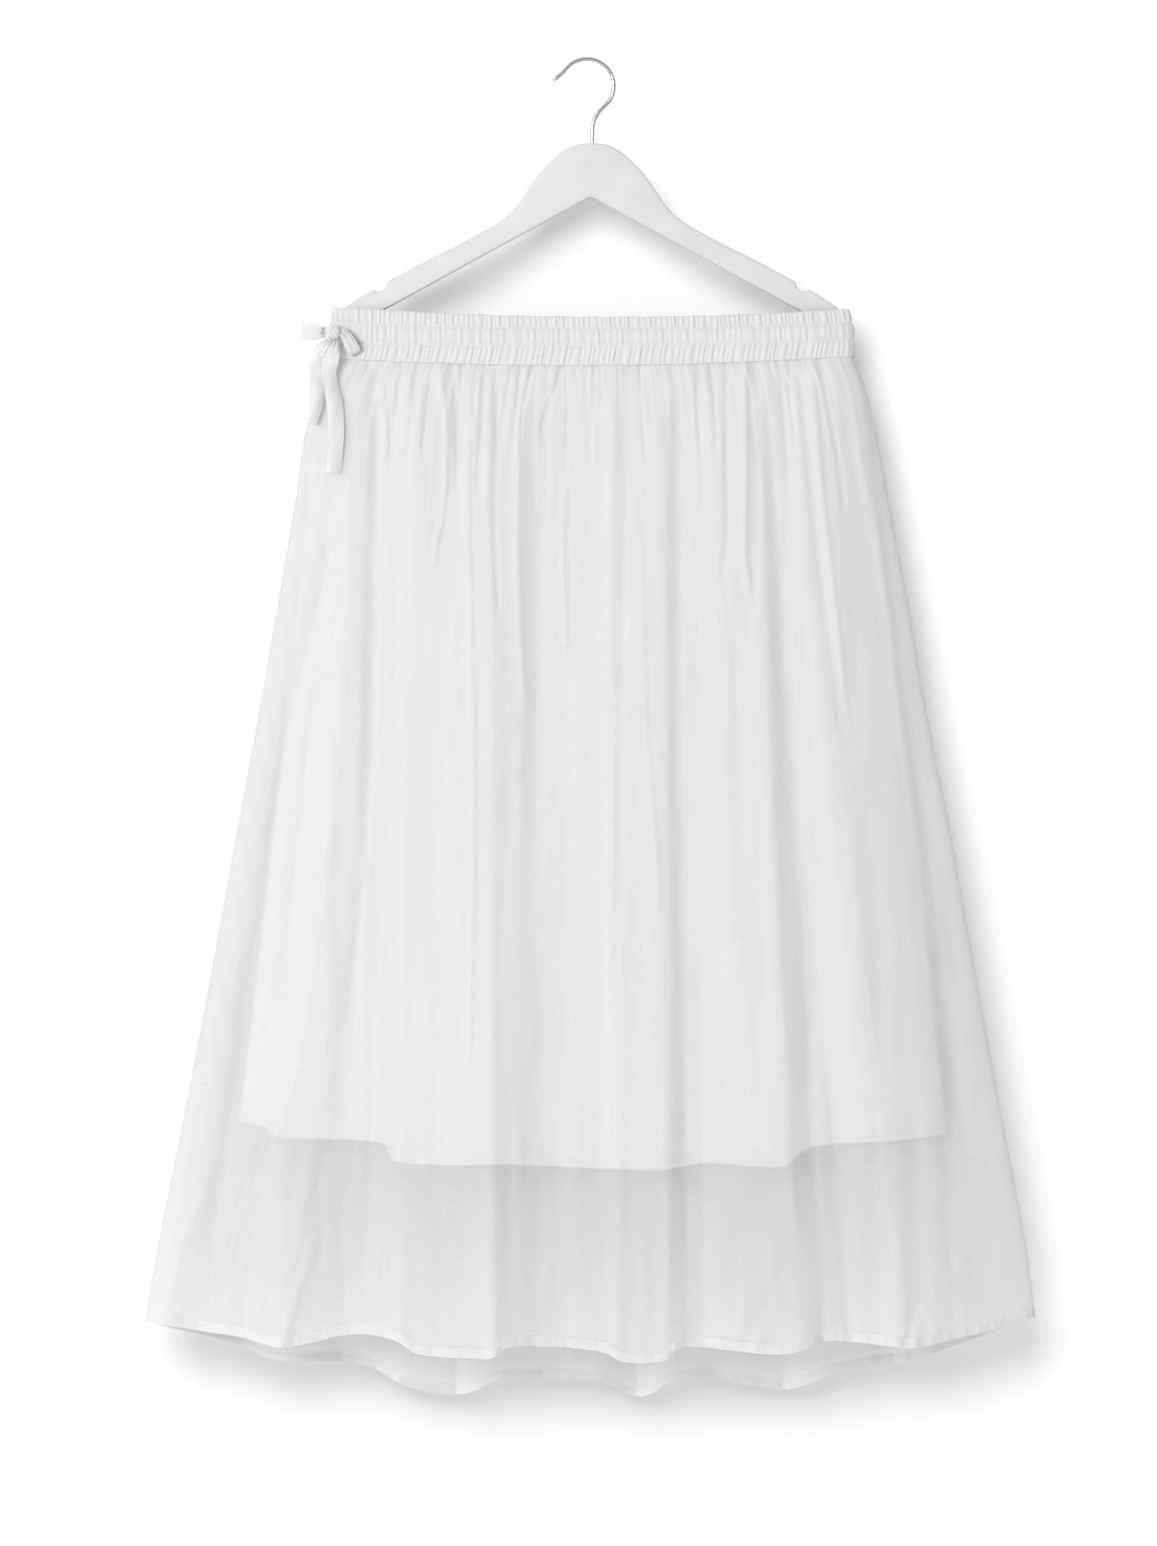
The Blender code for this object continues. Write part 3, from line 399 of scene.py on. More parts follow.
class ClothSettings(bpy.types.PropertyGroup):
    voile_shell: FloatProperty(
        name="Voile thickness",
        description="Thickness of the skirt's outer shell",
        default=0.0006,
        unit="LENGTH",
    )
    lining_shell: FloatProperty(
        name="Lining thickness",
        description="Thickness of the lining's shell",
        default=0.0006,
        unit="LENGTH",
    )
    band_shell: FloatProperty(
        name="Waistband thickness",
        description="Thickness of the elastic casing",
        default=0.0018,
        unit="LENGTH",
    )
    crinkle: FloatProperty(
        name="Crinkle height",
        description="Height of the soft crinkles all over the cloth",
        default=0.0009,
        unit="LENGTH",
    )
    columns: IntProperty(
        name="Columns",
        description="Mesh columns across an outer panel",
        default=350,
        subtype="UNSIGNED",
    )
    rows: IntProperty(
        name="Rows",
        description="Mesh rows down an outer panel",
        default=134,
        subtype="UNSIGNED",
    )
    voile_colour: FloatVectorProperty(
        name="Voile colour",
        description="Colour of the threads of the outer cloth",
        default=(0.775, 0.775, 0.772),
        subtype="COLOR",
        size=3,
    )
    folded_colour: FloatVectorProperty(
        name="Folded colour",
        description="Colour of the same cloth where it lies in several layers",
        default=(0.69, 0.69, 0.686),
        subtype="COLOR",
        size=3,
    )
    tie_colour: FloatVectorProperty(
        name="Tie colour",
        description="Colour of the drawstring",
        default=(0.78, 0.78, 0.776),
        subtype="COLOR",
        size=3,
    )
    hem_colour: FloatVectorProperty(
        name="Hem colour",
        description="Colour of the turned hems",
        default=(0.82, 0.82, 0.816),
        subtype="COLOR",
        size=3,
    )
    lining_colour: FloatVectorProperty(
        name="Lining colour",
        description="Colour of the lining",
        default=(0.92, 0.92, 0.918),
        subtype="COLOR",
        size=3,
    )
    voile_openness: FloatProperty(
        name="Voile openness",
        description="Share of the light that passes straight between the threads of each face",
        default=0.625,
        subtype="FACTOR",
    )
    lining_openness: FloatProperty(
        name="Lining openness",
        description="Share of the light that passes straight through each face of the lining",
        default=0.0,
        subtype="FACTOR",
    )
    stitch_pitch: FloatProperty(
        name="Stitch pitch",
        description="Distance from one stitch to the next",
        default=0.003,
        unit="LENGTH",
    )


class HangerSettings(bpy.types.PropertyGroup):
    edge_radius: FloatProperty(
        name="Edge radius",
        description="Rounding of the wooden body's edges",
        default=0.003,
        unit="LENGTH",
    )
    paint_colour: FloatVectorProperty(
        name="Paint colour",
        description="Colour of the hanger's paint",
        default=(0.58, 0.58, 0.576),
        subtype="COLOR",
        size=3,
    )
    wire_colour: FloatVectorProperty(
        name="Wire colour",
        description="Colour of the hook's steel",
        default=(0.5, 0.5, 0.51),
        subtype="COLOR",
        size=3,
    )


class StageSettings(bpy.types.PropertyGroup):
    wall_gap: FloatProperty(
        name="Wall gap",
        description="Distance from the middle of the hanger to the wall at the hook",
        default=0.041,
        unit="LENGTH",
    )
    wall_gap_at_hem: FloatProperty(
        name="Wall gap at the hem",
        description="Distance from the middle of the skirt to the wall below its hem",
        default=0.081,
        unit="LENGTH",
    )
    floor_height: FloatProperty(
        name="Floor height",
        description="Height of the floor below the hook",
        default=-2.3,
        unit="LENGTH",
    )
    camera_distance: FloatProperty(
        name="Camera distance",
        description="Distance from the hanger to the camera",
        default=14.0,
        unit="LENGTH",
    )
    key_power: FloatProperty(
        name="Key power",
        description="Power of the soft light from the left, which only reaches the skirt and hanger",
        default=500.0,
        unit="POWER",
    )
    key_size: FloatProperty(
        name="Key size",
        description="Width of the soft light from the left",
        default=3.0,
        unit="LENGTH",
    )
    fill_strength: FloatProperty(
        name="Fill strength",
        description="Brightness of the even light from the front half of the room",
        default=0.56,
        subtype="FACTOR",
    )
    rear_strength: FloatProperty(
        name="Rear fill strength",
        description="Brightness of the even light from behind the wall",
        default=0.08,
        subtype="FACTOR",
    )
    wall_power: FloatProperty(
        name="Wall power",
        description="Power of the light that only reaches the wall, past the skirt and hanger",
        default=300.0,
        unit="POWER",
    )
    wall_light_size: FloatProperty(
        name="Wall light size",
        description="Width of the light that only reaches the wall",
        default=4.3,
        unit="LENGTH",
    )
    back_power: FloatProperty(
        name="Back power",
        description="Power of the light behind the wall, which only reaches the pieces at the back",
        default=70.0,
        unit="POWER",
    )
    wall_colour: FloatVectorProperty(
        name="Wall colour",
        description="Colour of the wall and floor",
        default=(0.97, 0.97, 0.97),
        subtype="COLOR",
        size=3,
    )


class SkirtSettings(bpy.types.PropertyGroup):
    cloth: PointerProperty(type=ClothSettings)
    hanger: PointerProperty(type=HangerSettings)
    stage: PointerProperty(type=StageSettings)


# Curves through a few values


def smooth(wanted, places, values):
    """A smooth curve through (places, values), read at wanted. Places rise."""
    places, values = np.asarray(places, float), np.asarray(values, float)
    slopes = np.empty_like(values)
    slopes[1:-1] = (values[2:] - values[:-2]) / (places[2:] - places[:-2])
    slopes[0] = (values[1] - values[0]) / (places[1] - places[0])
    slopes[-1] = (values[-1] - values[-2]) / (places[-1] - places[-2])
    held = np.clip(wanted, places[0], places[-1])
    k = np.clip(np.searchsorted(places, held, side="right") - 1, 0, len(places) - 2)
    width = places[k + 1] - places[k]
    t = (held - places[k]) / width
    start = (1 + 2 * t) * (1 - t) ** 2 * values[k] + t * (1 - t) ** 2 * width * slopes[k]
    end = t**2 * (3 - 2 * t) * values[k + 1] + t**2 * (t - 1) * width * slopes[k + 1]
    return start + end


def ease(x):
    x = np.clip(x, 0.0, 1.0)
    return x * x * (3.0 - 2.0 * x)


def drift(x, z, size_x, size_z, seed):
    """Smooth noise from -1 to 1, with its own size across and down."""
    points = zip(np.ravel(x / size_x), np.ravel(z / size_z))
    values = [noise.noise((a, b, seed)) for a, b in points]
    return np.array(values).reshape(np.shape(x))


# The skirt's form


def section(height, name):
    column = ("height", "left", "right", "half_depth", "squareness").index(name)
    return smooth(-height, -SECTIONS[:, 0], SECTIONS[:, column])


def section_point(side, share, height, lift, inset=0.0, depth_share=1.0):
    """Points on the front or back half of the level sections, moved out by lift."""
    left, right = section(height, "left") + inset, section(height, "right") - inset
    half_depth = section(height, "half_depth") * depth_share
    power = section(height, "squareness")
    half_width = (right - left) / 2.0
    across = 2.0 * share - 1.0
    inward = np.maximum(1.0 - np.abs(across) ** power, 1e-12) ** (1.0 / power)
    slope_x = np.abs(across) ** (power - 1.0) / half_width
    slope_y = inward ** (power - 1.0) / half_depth
    length = np.sqrt(slope_x**2 + slope_y**2)
    x = (left + right) / 2.0 + half_width * across + np.sign(across) * slope_x / length * lift
    y = HALF_GAP + half_depth * inward + slope_y / length * lift
    return np.stack([x, side * y, height + 0.0 * x], axis=-1)


def band_height(level, share):
    left, middle, right = BAND_LEVELS[level]
    sag = middle - (left + right) / 2.0
    return left + (right - left) * share + sag * 4.0 * share * (1.0 - share)


def uneven(share):
    """Shares with some of the gathers closer together."""
    wave = 0.0045 * np.sin(2 * pi * 5 * share + 1.0)
    return share + wave + 0.0022 * np.sin(2 * pi * 11 * share)


def edge_fade(share):
    return ease(share / EDGE_FADE) * ease((1.0 - share) / EDGE_FADE)


def fold_relief(folds, x, height, share):
    """How far the folds stand out, and how far they lean to the right."""
    lift, leaning = np.zeros_like(x), np.zeros_like(x)
    spread = (section(height, "right") - section(height, "left")) / FLANK_WIDTH_AT
    for crest, left_flank, right_flank, stands_out, lean, bends in folds:
        distance = x - smooth(-height, -FOLD_HEIGHTS, crest)
        flank = np.where(distance < 0, left_flank, right_flank) * spread
        bend = np.where(distance < 0, *bends)
        away = (np.sqrt(distance**2 + CREST_ROUNDING**2) - CREST_ROUNDING) / flank
        bump = np.clip(1.0 - away, 0.0, 1.0) ** bend
        strength = smooth(-height, -FOLD_HEIGHTS, stands_out)
        lift += bump * strength
        leaning += bump**2 * lean * strength / np.abs(stands_out).max()
    fade = edge_fade(share)
    return lift * fade, leaning * fade


def pleat_relief(side, x, height):
    """The pleats and gathers that the picture shows one by one."""
    column = ORIGIN_PIXEL[0] + x / MM_PER_PIXEL
    row = ORIGIN_PIXEL[1] - height / MM_PER_PIXEL
    if side == BACK:
        column = 2.0 * BACK_MIRROR - column
    lift = np.zeros_like(x)
    for stands_out, left, right, *line in FRONT_PLEATS:
        places = np.array(sorted(line, key=lambda point: point[1]), dtype=float)
        aside = (column - smooth(row, places[:, 1], places[:, 0])) * MM_PER_PIXEL
        flank = np.where(aside < 0, left, right)
        start = ease((row - places[0, 1] + PLEAT_FADE) / PLEAT_FADE)
        end = ease((places[-1, 1] + PLEAT_FADE - row) / PLEAT_FADE)
        lift += stands_out * start * end * np.exp(-((aside / flank) ** 2))
    return lift


def gather_relief(share, below_seam, side):
    """Gathers at the seam: uneven in height and length, steep on one side, with finer ones."""
    steps = np.linspace(0.0, 1.0, 2001)
    spread = (uneven(steps) - uneven(0.0)) / (uneven(1.0) - uneven(0.0))
    gathered = GATHER_MARGIN + (1.0 - 2.0 * GATHER_MARGIN) * spread
    phase = np.interp(share, gathered, steps) * GATHERS
    sway = 0.12 * np.sin(below_seam / 34.0 + 5.0 * share)
    phase = phase + sway
    number = np.floor(phase)
    part = phase - number
    rise = np.sin(np.clip(part / GATHER_RISE, 0.0, 1.0) * pi / 2.0) ** 2
    fall = np.clip((1.0 - part) / GATHER_FALL, 0.0, 1.0) ** 1.2
    seed = SEEDS[side]
    wave = 0.5 + 0.32 * np.sin(2.4 * number + seed) + 0.18 * np.sin(5.1 * number + 2.0 * seed)
    height = GATHER_HEIGHT[0] + (GATHER_HEIGHT[1] - GATHER_HEIGHT[0]) * wave
    reach = 0.5 + 0.5 * np.sin(1.7 * number + 0.5 + seed)
    run = GATHER_RUN[0] + (GATHER_RUN[1] - GATHER_RUN[0]) * reach
    lift = np.minimum(rise, fall) * height * np.clip(1.0 - below_seam / run, 0.0, 1.0)
    fine = np.abs(np.sin(pi * (share * FINE_GATHERS + 0.4 * np.sin(41 * share)))) - 0.5
    lift += FINE_HEIGHT * fine * np.clip(1.0 - below_seam / FINE_RUN, 0.0, 1.0) ** 1.5
    freed = ease((below_seam + SEAM_OVERLAP) / SEAM_RUN)
    held = GATHER_HELD + (1.0 - GATHER_HELD) * freed
    return (lift * held - SEAM_TUCK * (1.0 - freed)) * edge_fade(share)


def hem_relief(above_hem, x):
    """The turned hem: one more layer, drawn into small puckers by its stitching."""
    inside = ease((HEM_WIDTH - above_hem) / HEM_STEP)
    pucker = 0.22 * np.sin(x / 0.95 + 1.6 * np.sin(x / 7.3)) + 0.15 * np.sin(x / 2.3)
    depth, half_width = HEM_GROOVE
    line = -depth * np.exp(-(((above_hem - HEM_STITCHING) / half_width) ** 2))
    top, run = PUCKER_REACH
    fading = 0.4 * pucker * ease((top - above_hem) / run)
    return inside * (HEM_THICKNESS + pucker) + line + fading


def panel_surface(side, share, height, above_hem, crinkle):
    """Points of an outer panel."""
    folds = FRONT_FOLDS if side == FRONT else BACK_FOLDS
    below_seam = band_height(SKIRT_SEAM, share) - height
    x = section_point(side, share, height, 0.0)[..., 0]
    lift, leaning = fold_relief(folds, x, height, share)
    settle = ease(below_seam / FOLD_START)
    uneven_by, drift_across, drift_down = FOLD_DRIFT
    lift *= settle
    lift *= 1.0 + uneven_by * drift(x, height, drift_across, drift_down, 4.0 + side)
    lift += gather_relief(share, below_seam, side)
    fade = edge_fade(share)
    lift += pleat_relief(side, x, height) * fade
    for part, size_x, size_z, seed, settles in VOILE_CRINKLES:
        crinkles = part * crinkle * drift(x, height, size_x, size_z, seed + side)
        lift += crinkles * (settle if settles else 1.0) * fade
    starts, ends = FULLNESS_RUN
    lift += FULLNESS * ease(below_seam / starts) * np.exp(-((below_seam / ends) ** 2)) * fade
    room = section(height, "half_depth") * (1.0 - lining_depth(share, height))
    deepest = LINING_CLEARANCE - room
    lift = np.where(lift < deepest, deepest + SOFT_STOP * np.tanh(lift - deepest), lift)
    lift += hem_relief(above_hem, x)
    points = section_point(side, share, height, lift)
    points[..., 0] += leaning * settle
    return points


def lining_down(share, height):
    return np.clip((band_height(SKIRT_SEAM, share) - height) / LINING_LENGTH, 0.0, 1.0)


def lining_depth(share, height):
    return np.interp(lining_down(share, height), LINING_DEPTH_AT, LINING_DEPTH_SHARE)


def lining_surface(side, share, height, above_hem, crinkle):
    """Points of a lining panel."""
    down = lining_down(share, height)
    inset = LINING_INSET[0] + (LINING_INSET[1] - LINING_INSET[0]) * down
    depth = lining_depth(share, height)
    x = section_point(side, share, height, 0.0, inset, depth)[..., 0]
    lift, leaning = fold_relief(LINING_FOLDS, x, height, share)
    settle = ease(down * LINING_START)
    lift += crinkle * drift(x, height, *LINING_CRINKLE, 31.0 + side) * edge_fade(share) * settle
    lift += hem_relief(above_hem, x)
    points = section_point(side, share, height, lift * settle, inset, depth)
    points[..., 0] += leaning * settle
    return points


def band_relief(share, level_share):
    """Relief of the shirred waistband at this share across, and 0 to 3 down its three rows."""
    row = np.clip(np.floor(level_share), 0, BAND_ROWS - 1).astype(int)
    down = level_share - row
    table = np.array(BAND_CHANNELS)
    stands_out, count, height, sharp = (table[row, k] for k in range(4))
    casing = stands_out * np.sin(pi * np.clip(down, 0.0, 1.0)) ** 0.7
    phase = share * count + 0.35 * np.sin(share * 57.0 + row) + 0.2 * np.sin(share * 143.0 + 2 * row)
    number = np.floor(phase)
    tone = 0.72 + 0.28 * np.sin(2.9 * number + row) + 0.16 * np.sin(7.7 * number)
    hump = np.abs(np.sin(pi * phase)) ** sharp
    held = 0.35 + 0.65 * np.sin(pi * np.clip(down, 0.0, 1.0)) ** 0.8
    groove = np.minimum(np.abs(level_share - 1.0), np.abs(level_share - 2.0))
    stitched = -BAND_GROOVE[0] * np.exp(-((groove / BAND_GROOVE[1]) ** 2))
    tuck, reach = BAND_SEAM_TUCK
    seam = -tuck * ease((level_share - (BAND_ROWS - reach)) / reach)
    return casing + height * tone * hump * held + stitched + seam


def band_surface(side, share, level_share):
    """Points of the waistband's outer face."""
    row = np.clip(np.floor(level_share), 0, BAND_ROWS - 1).astype(int)
    levels = np.stack([band_height(level, share) for level in range(BAND_ROWS + 1)], axis=-1)
    upper = np.take_along_axis(levels, row[..., None], axis=-1)[..., 0]
    lower = np.take_along_axis(levels, row[..., None] + 1, axis=-1)[..., 0]
    height = upper + (lower - upper) * (level_share - row)
    relief = band_relief(share, level_share)
    fade = edge_fade(share)
    points = section_point(side, share, height, relief * np.maximum(fade, BAND_SIDE_RELIEF))
    lean = np.interp(level_share, range(BAND_ROWS + 1), BAND_LEAN)
    points[..., 0] -= lean * fade
    edge = np.clip(1.0 - level_share / FRILL_REACH, 0.0, 1.0)
    gathers = np.abs(np.sin(pi * share * BAND_CHANNELS[0][1]))
    frill = gathers * (0.6 + 0.4 * np.sin(share * 91.0))
    points[..., 2] += edge * FRILL * (frill - 0.3)
    return points


# Meshes


def cloth_grid(columns, rows, uv_name):
    """A grid with a UV map, and each vertex's share across and down."""
    bm = bmesh.new()
    bm.loops.layers.uv.new(uv_name)
    bmesh.ops.create_grid(bm, x_segments=columns, y_segments=rows, size=0.5, calc_uvs=True)
    flat = np.array([vert.co[:2] for vert in bm.verts])
    return bm, flat[:, 0] + 0.5, 0.5 - flat[:, 1]


def place(bm, points):
    """Moves the grid's vertices to the given points, in metres from here on."""
    for vert, point in zip(bm.verts, points * MM):
        vert.co = point


def drop_rows(v, rows, length):
    """Heights above the hem: rows of their own for the turned hem, the rest closer at the top."""
    left = rows - np.rint(v * rows)
    in_hem = np.minimum(left, HEM_ROWS) / HEM_ROWS * (HEM_WIDTH + HEM_MARGIN)
    body = np.maximum(left - HEM_ROWS, 0.0) / (rows - HEM_ROWS)
    closer = body + ROW_CROWDING * np.sin(pi * body)
    return in_hem + (length - HEM_WIDTH - HEM_MARGIN) * closer


def close_hem(bm, material_index):
    """Gives the rows of the turned hem their closer material."""
    uv_layer = bm.loops.layers.uv.active
    rows = sorted({round(loop[uv_layer].uv.y, 5) for face in bm.faces for loop in face.loops})
    limit = rows[HEM_ROWS] + 1e-4
    for face in bm.faces:
        if max(loop[uv_layer].uv.y for loop in face.loops) < limit:
            face.material_index = material_index


def finish_mesh(bm, name, material, outward=None):
    """Makes an object of a bmesh at the origin. outward is a direction its faces have to face."""
    if outward is not None:
        bm.normal_update()
        facing = sum(face.normal.dot(outward) * face.calc_area() for face in bm.faces)
        if facing < 0:
            bmesh.ops.reverse_faces(bm, faces=bm.faces)
    rim = [edge.is_boundary for edge in bm.edges]
    mesh = bpy.data.meshes.new(name)
    bm.to_mesh(mesh)
    bm.free()
    mesh.shade_smooth()
    for edge, is_rim in zip(mesh.edges, rim):
        edge.use_edge_sharp = is_rim
    mesh.materials.append(material)
    piece = bpy.data.objects.new(name, mesh)
    bpy.context.scene.collection.objects.link(piece)
    return piece


def dress(piece, slot, *nodes):
    """Fixes a piece to the one body, lets the key light reach it and, unless it is a front piece,
    the back light, and hides the solids of the nodes it stands for. slot is not used.
    """
    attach(piece, "root")
    bpy.data.collections[KEY_LIT].objects.link(piece)
    if "front" not in piece.name:
        bpy.data.collections[BACK_LIT].objects.link(piece)
    if nodes:
        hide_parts(*nodes)
    return piece


def thicken(piece, thickness, offset):
    shell = piece.modifiers.new("shell", "SOLIDIFY")
    shell.thickness = thickness
    shell.offset = offset
    shell.use_even_offset = False
    shell.use_rim = True


def packed_share(u, edge):
    """Shares that crowd towards both ends, so that the section's ends come out round."""
    total = 1.0 - edge
    low = np.where(u < edge, u * u / (2 * edge), u - edge / 2)
    high = np.where(u > 1 - edge, total - (1 - u) ** 2 / (2 * edge), low)
    return high / total


def run_along(points):
    """How far along the line each of its points lies."""
    steps = np.linalg.norm(np.diff(points, axis=0), axis=1)
    return np.concatenate([[0.0], np.cumsum(steps)])


def smooth_route(points, stations):
    """Even stations along a smooth curve through rows of numbers, the first three a point."""
    rows = np.array(points, dtype=float)
    places = run_along(rows[:, :3])
    dense_places = np.linspace(0.0, places[-1], ROUTE_SAMPLES)
    dense = np.stack([smooth(dense_places, places, rows[:, k]) for k in range(rows.shape[1])], -1)
    run = run_along(dense[:, :3])
    wanted = np.linspace(0.0, run[-1], stations)
    return np.stack([np.interp(wanted, run, dense[:, k]) for k in range(rows.shape[1])], -1)


def unit(vectors):
    return vectors / np.linalg.norm(vectors, axis=-1, keepdims=True)


# Materials


def new_material(name):
    material = bpy.data.materials.new(name)
    material.use_nodes = True
    tree = material.node_tree
    tree.nodes.clear()
    return material, tree


def add(tree, kind, values=None, **settings):
    """Adds a node, sets its properties and its inputs, by value or by link."""
    node = tree.nodes.new(kind)
    for name, value in settings.items():
        setattr(node, name, value)
    for name, value in (values or {}).items():
        socket = node.inputs[name]
        if isinstance(value, bpy.types.NodeSocket):
            tree.links.new(value, socket)
        else:
            socket.default_value = value
    return node


def scaled_noise(tree, coordinates, scale, detail=2.0):
    """Noise stretched by a Mapping node."""
    mapping = add(tree, "ShaderNodeMapping", {"Vector": coordinates, "Scale": scale})
    return add(
        tree,
        "ShaderNodeTexNoise",
        {"Vector": mapping.outputs[0], "Scale": 1.0, "Detail": detail, "Roughness": 0.5},
    ).outputs["Fac"]


def ramped(tree, value, low, high, from_low=NOISE_LOW, from_high=NOISE_HIGH):
    """The value brought from one range to another, as a rule from a noise's own."""
    return add(
        tree,
        "ShaderNodeMapRange",
        {
            "Value": value,
            "From Min": from_low,
            "From Max": from_high,
            "To Min": low,
            "To Max": high,
        },
    ).outputs[0]


def maths(tree, operation, first, second):
    return add(tree, "ShaderNodeMath", {0: first, 1: second}, operation=operation).outputs[0]


def tinted(tree, tone, colour):
    """The colour, darker where the tone is below 1."""
    mixed = {"Fac": tone, "Color1": (0.0, 0.0, 0.0, 1.0), "Color2": (*colour, 1.0)}
    return add(tree, "ShaderNodeMixRGB", mixed).outputs[0]


def bumped(tree, relief, strength):
    """A normal that follows the relief, which is in metres."""
    values = {"Height": relief, "Strength": strength, "Distance": 1.0}
    return add(tree, "ShaderNodeBump", values).outputs[0]


def output(tree, shader):
    add(tree, "ShaderNodeOutputMaterial", {"Surface": shader.outputs[0]})


def woven(name, colour, openness, passes, flat, uv_name, slub=1.0, raised=True):
    """Plain woven cotton: uneven threads both ways, light passing through and between them.
    slub is how much the threads vary in tone, raised whether they stand out too."""
    material, tree = new_material(name)
    uv = add(tree, "ShaderNodeUVMap", uv_map=uv_name).outputs[0]
    width, length = flat
    warp, weft = (
        scaled_noise(tree, uv, (across * width, down * length, 1.0), detail)
        for across, down, detail in THREAD_NOISE
    )
    threads = maths(tree, "ADD", warp, weft)
    shade = ramped(tree, threads, 1.0 - 0.04 * slub, 1.0, 0.8, 1.15)
    base = tinted(tree, shade, colour)
    cloth = add(
        tree,
        "ShaderNodeBsdfPrincipled",
        {"Base Color": base, "Roughness": 0.9, "Specular IOR Level": 0.15},
    )
    if raised:
        bump = bumped(tree, maths(tree, "MULTIPLY", threads, THREAD_RELIEF), 0.6)
        tree.links.new(bump, cloth.inputs["Normal"])
    glow = add(tree, "ShaderNodeBsdfTranslucent", {"Color": base})
    surface = add(tree, "ShaderNodeMixShader", {0: passes, 1: cloth.outputs[0], 2: glow.outputs[0]})
    if openness > 0.0:
        gaps = add(tree, "ShaderNodeBsdfTransparent")
        surface = add(
            tree, "ShaderNodeMixShader", {0: openness, 1: surface.outputs[0], 2: gaps.outputs[0]}
        )
    output(tree, surface)
    return material


def thread_material(colour):
    """Sewing thread: a fine twist along each stitch."""
    material, tree = new_material("sewing_thread")
    place_in = add(tree, "ShaderNodeTexCoord").outputs["Object"]
    twist = scaled_noise(tree, place_in, (2600.0, 2600.0, 2600.0), 2.0)
    tone = ramped(tree, twist, 0.86, 1.0)
    base = tinted(tree, tone, colour)
    shader = add(
        tree,
        "ShaderNodeBsdfPrincipled",
        {"Base Color": base, "Roughness": 0.6, "Sheen Weight": 0.2},
    )
    output(tree, shader)
    return material


def paint_material(colour):
    """Satin paint over wood: faint grain along the arms, tiny orange peel, softer tone variation."""
    material, tree = new_material("painted_wood")
    place_in = add(tree, "ShaderNodeTexCoord").outputs["Object"]
    grain = scaled_noise(tree, place_in, (18.0, 60.0, 420.0), 4.0)
    peel = scaled_noise(tree, place_in, (900.0, 900.0, 900.0), 2.0)
    cloud = scaled_noise(tree, place_in, (26.0, 26.0, 26.0), 3.0)
    tone = ramped(tree, cloud, 0.95, 1.0)
    tone = maths(tree, "MULTIPLY", tone, ramped(tree, grain, 0.975, 1.0))
    base = tinted(tree, tone, colour)
    relief = maths(tree, "MULTIPLY", grain, 0.00010)
    relief = maths(tree, "ADD", relief, maths(tree, "MULTIPLY", peel, 0.00003))
    bump = bumped(tree, relief, 0.7)
    roughness = ramped(tree, cloud, 0.38, 0.5)
    shader = add(
        tree,
        "ShaderNodeBsdfPrincipled",
        {
            "Base Color": base,
            "Roughness": roughness,
            "Specular IOR Level": 0.4,
            "Coat Weight": 0.1,
            "Normal": bump,
        },
    )
    output(tree, shader)
    return material


def wire_material(colour):
    """Drawn steel wire: bright, with fine lines along it."""
    material, tree = new_material("steel_wire")
    place_in = add(tree, "ShaderNodeTexCoord").outputs["Object"]
    lines = scaled_noise(tree, place_in, (700.0, 2400.0, 700.0), 3.0)
    roughness = ramped(tree, lines, 0.16, 0.3)
    bump = bumped(tree, maths(tree, "MULTIPLY", lines, 0.00002), 0.5)
    tone = ramped(tree, lines, 0.9, 1.0)
    base = tinted(tree, tone, colour)
    shader = add(
        tree,
        "ShaderNodeBsdfPrincipled",
        {
            "Base Color": base,
            "Metallic": 1.0,
            "Roughness": roughness,
            "Normal": bump,
        },
    )
    output(tree, shader)
    return material


# Operators


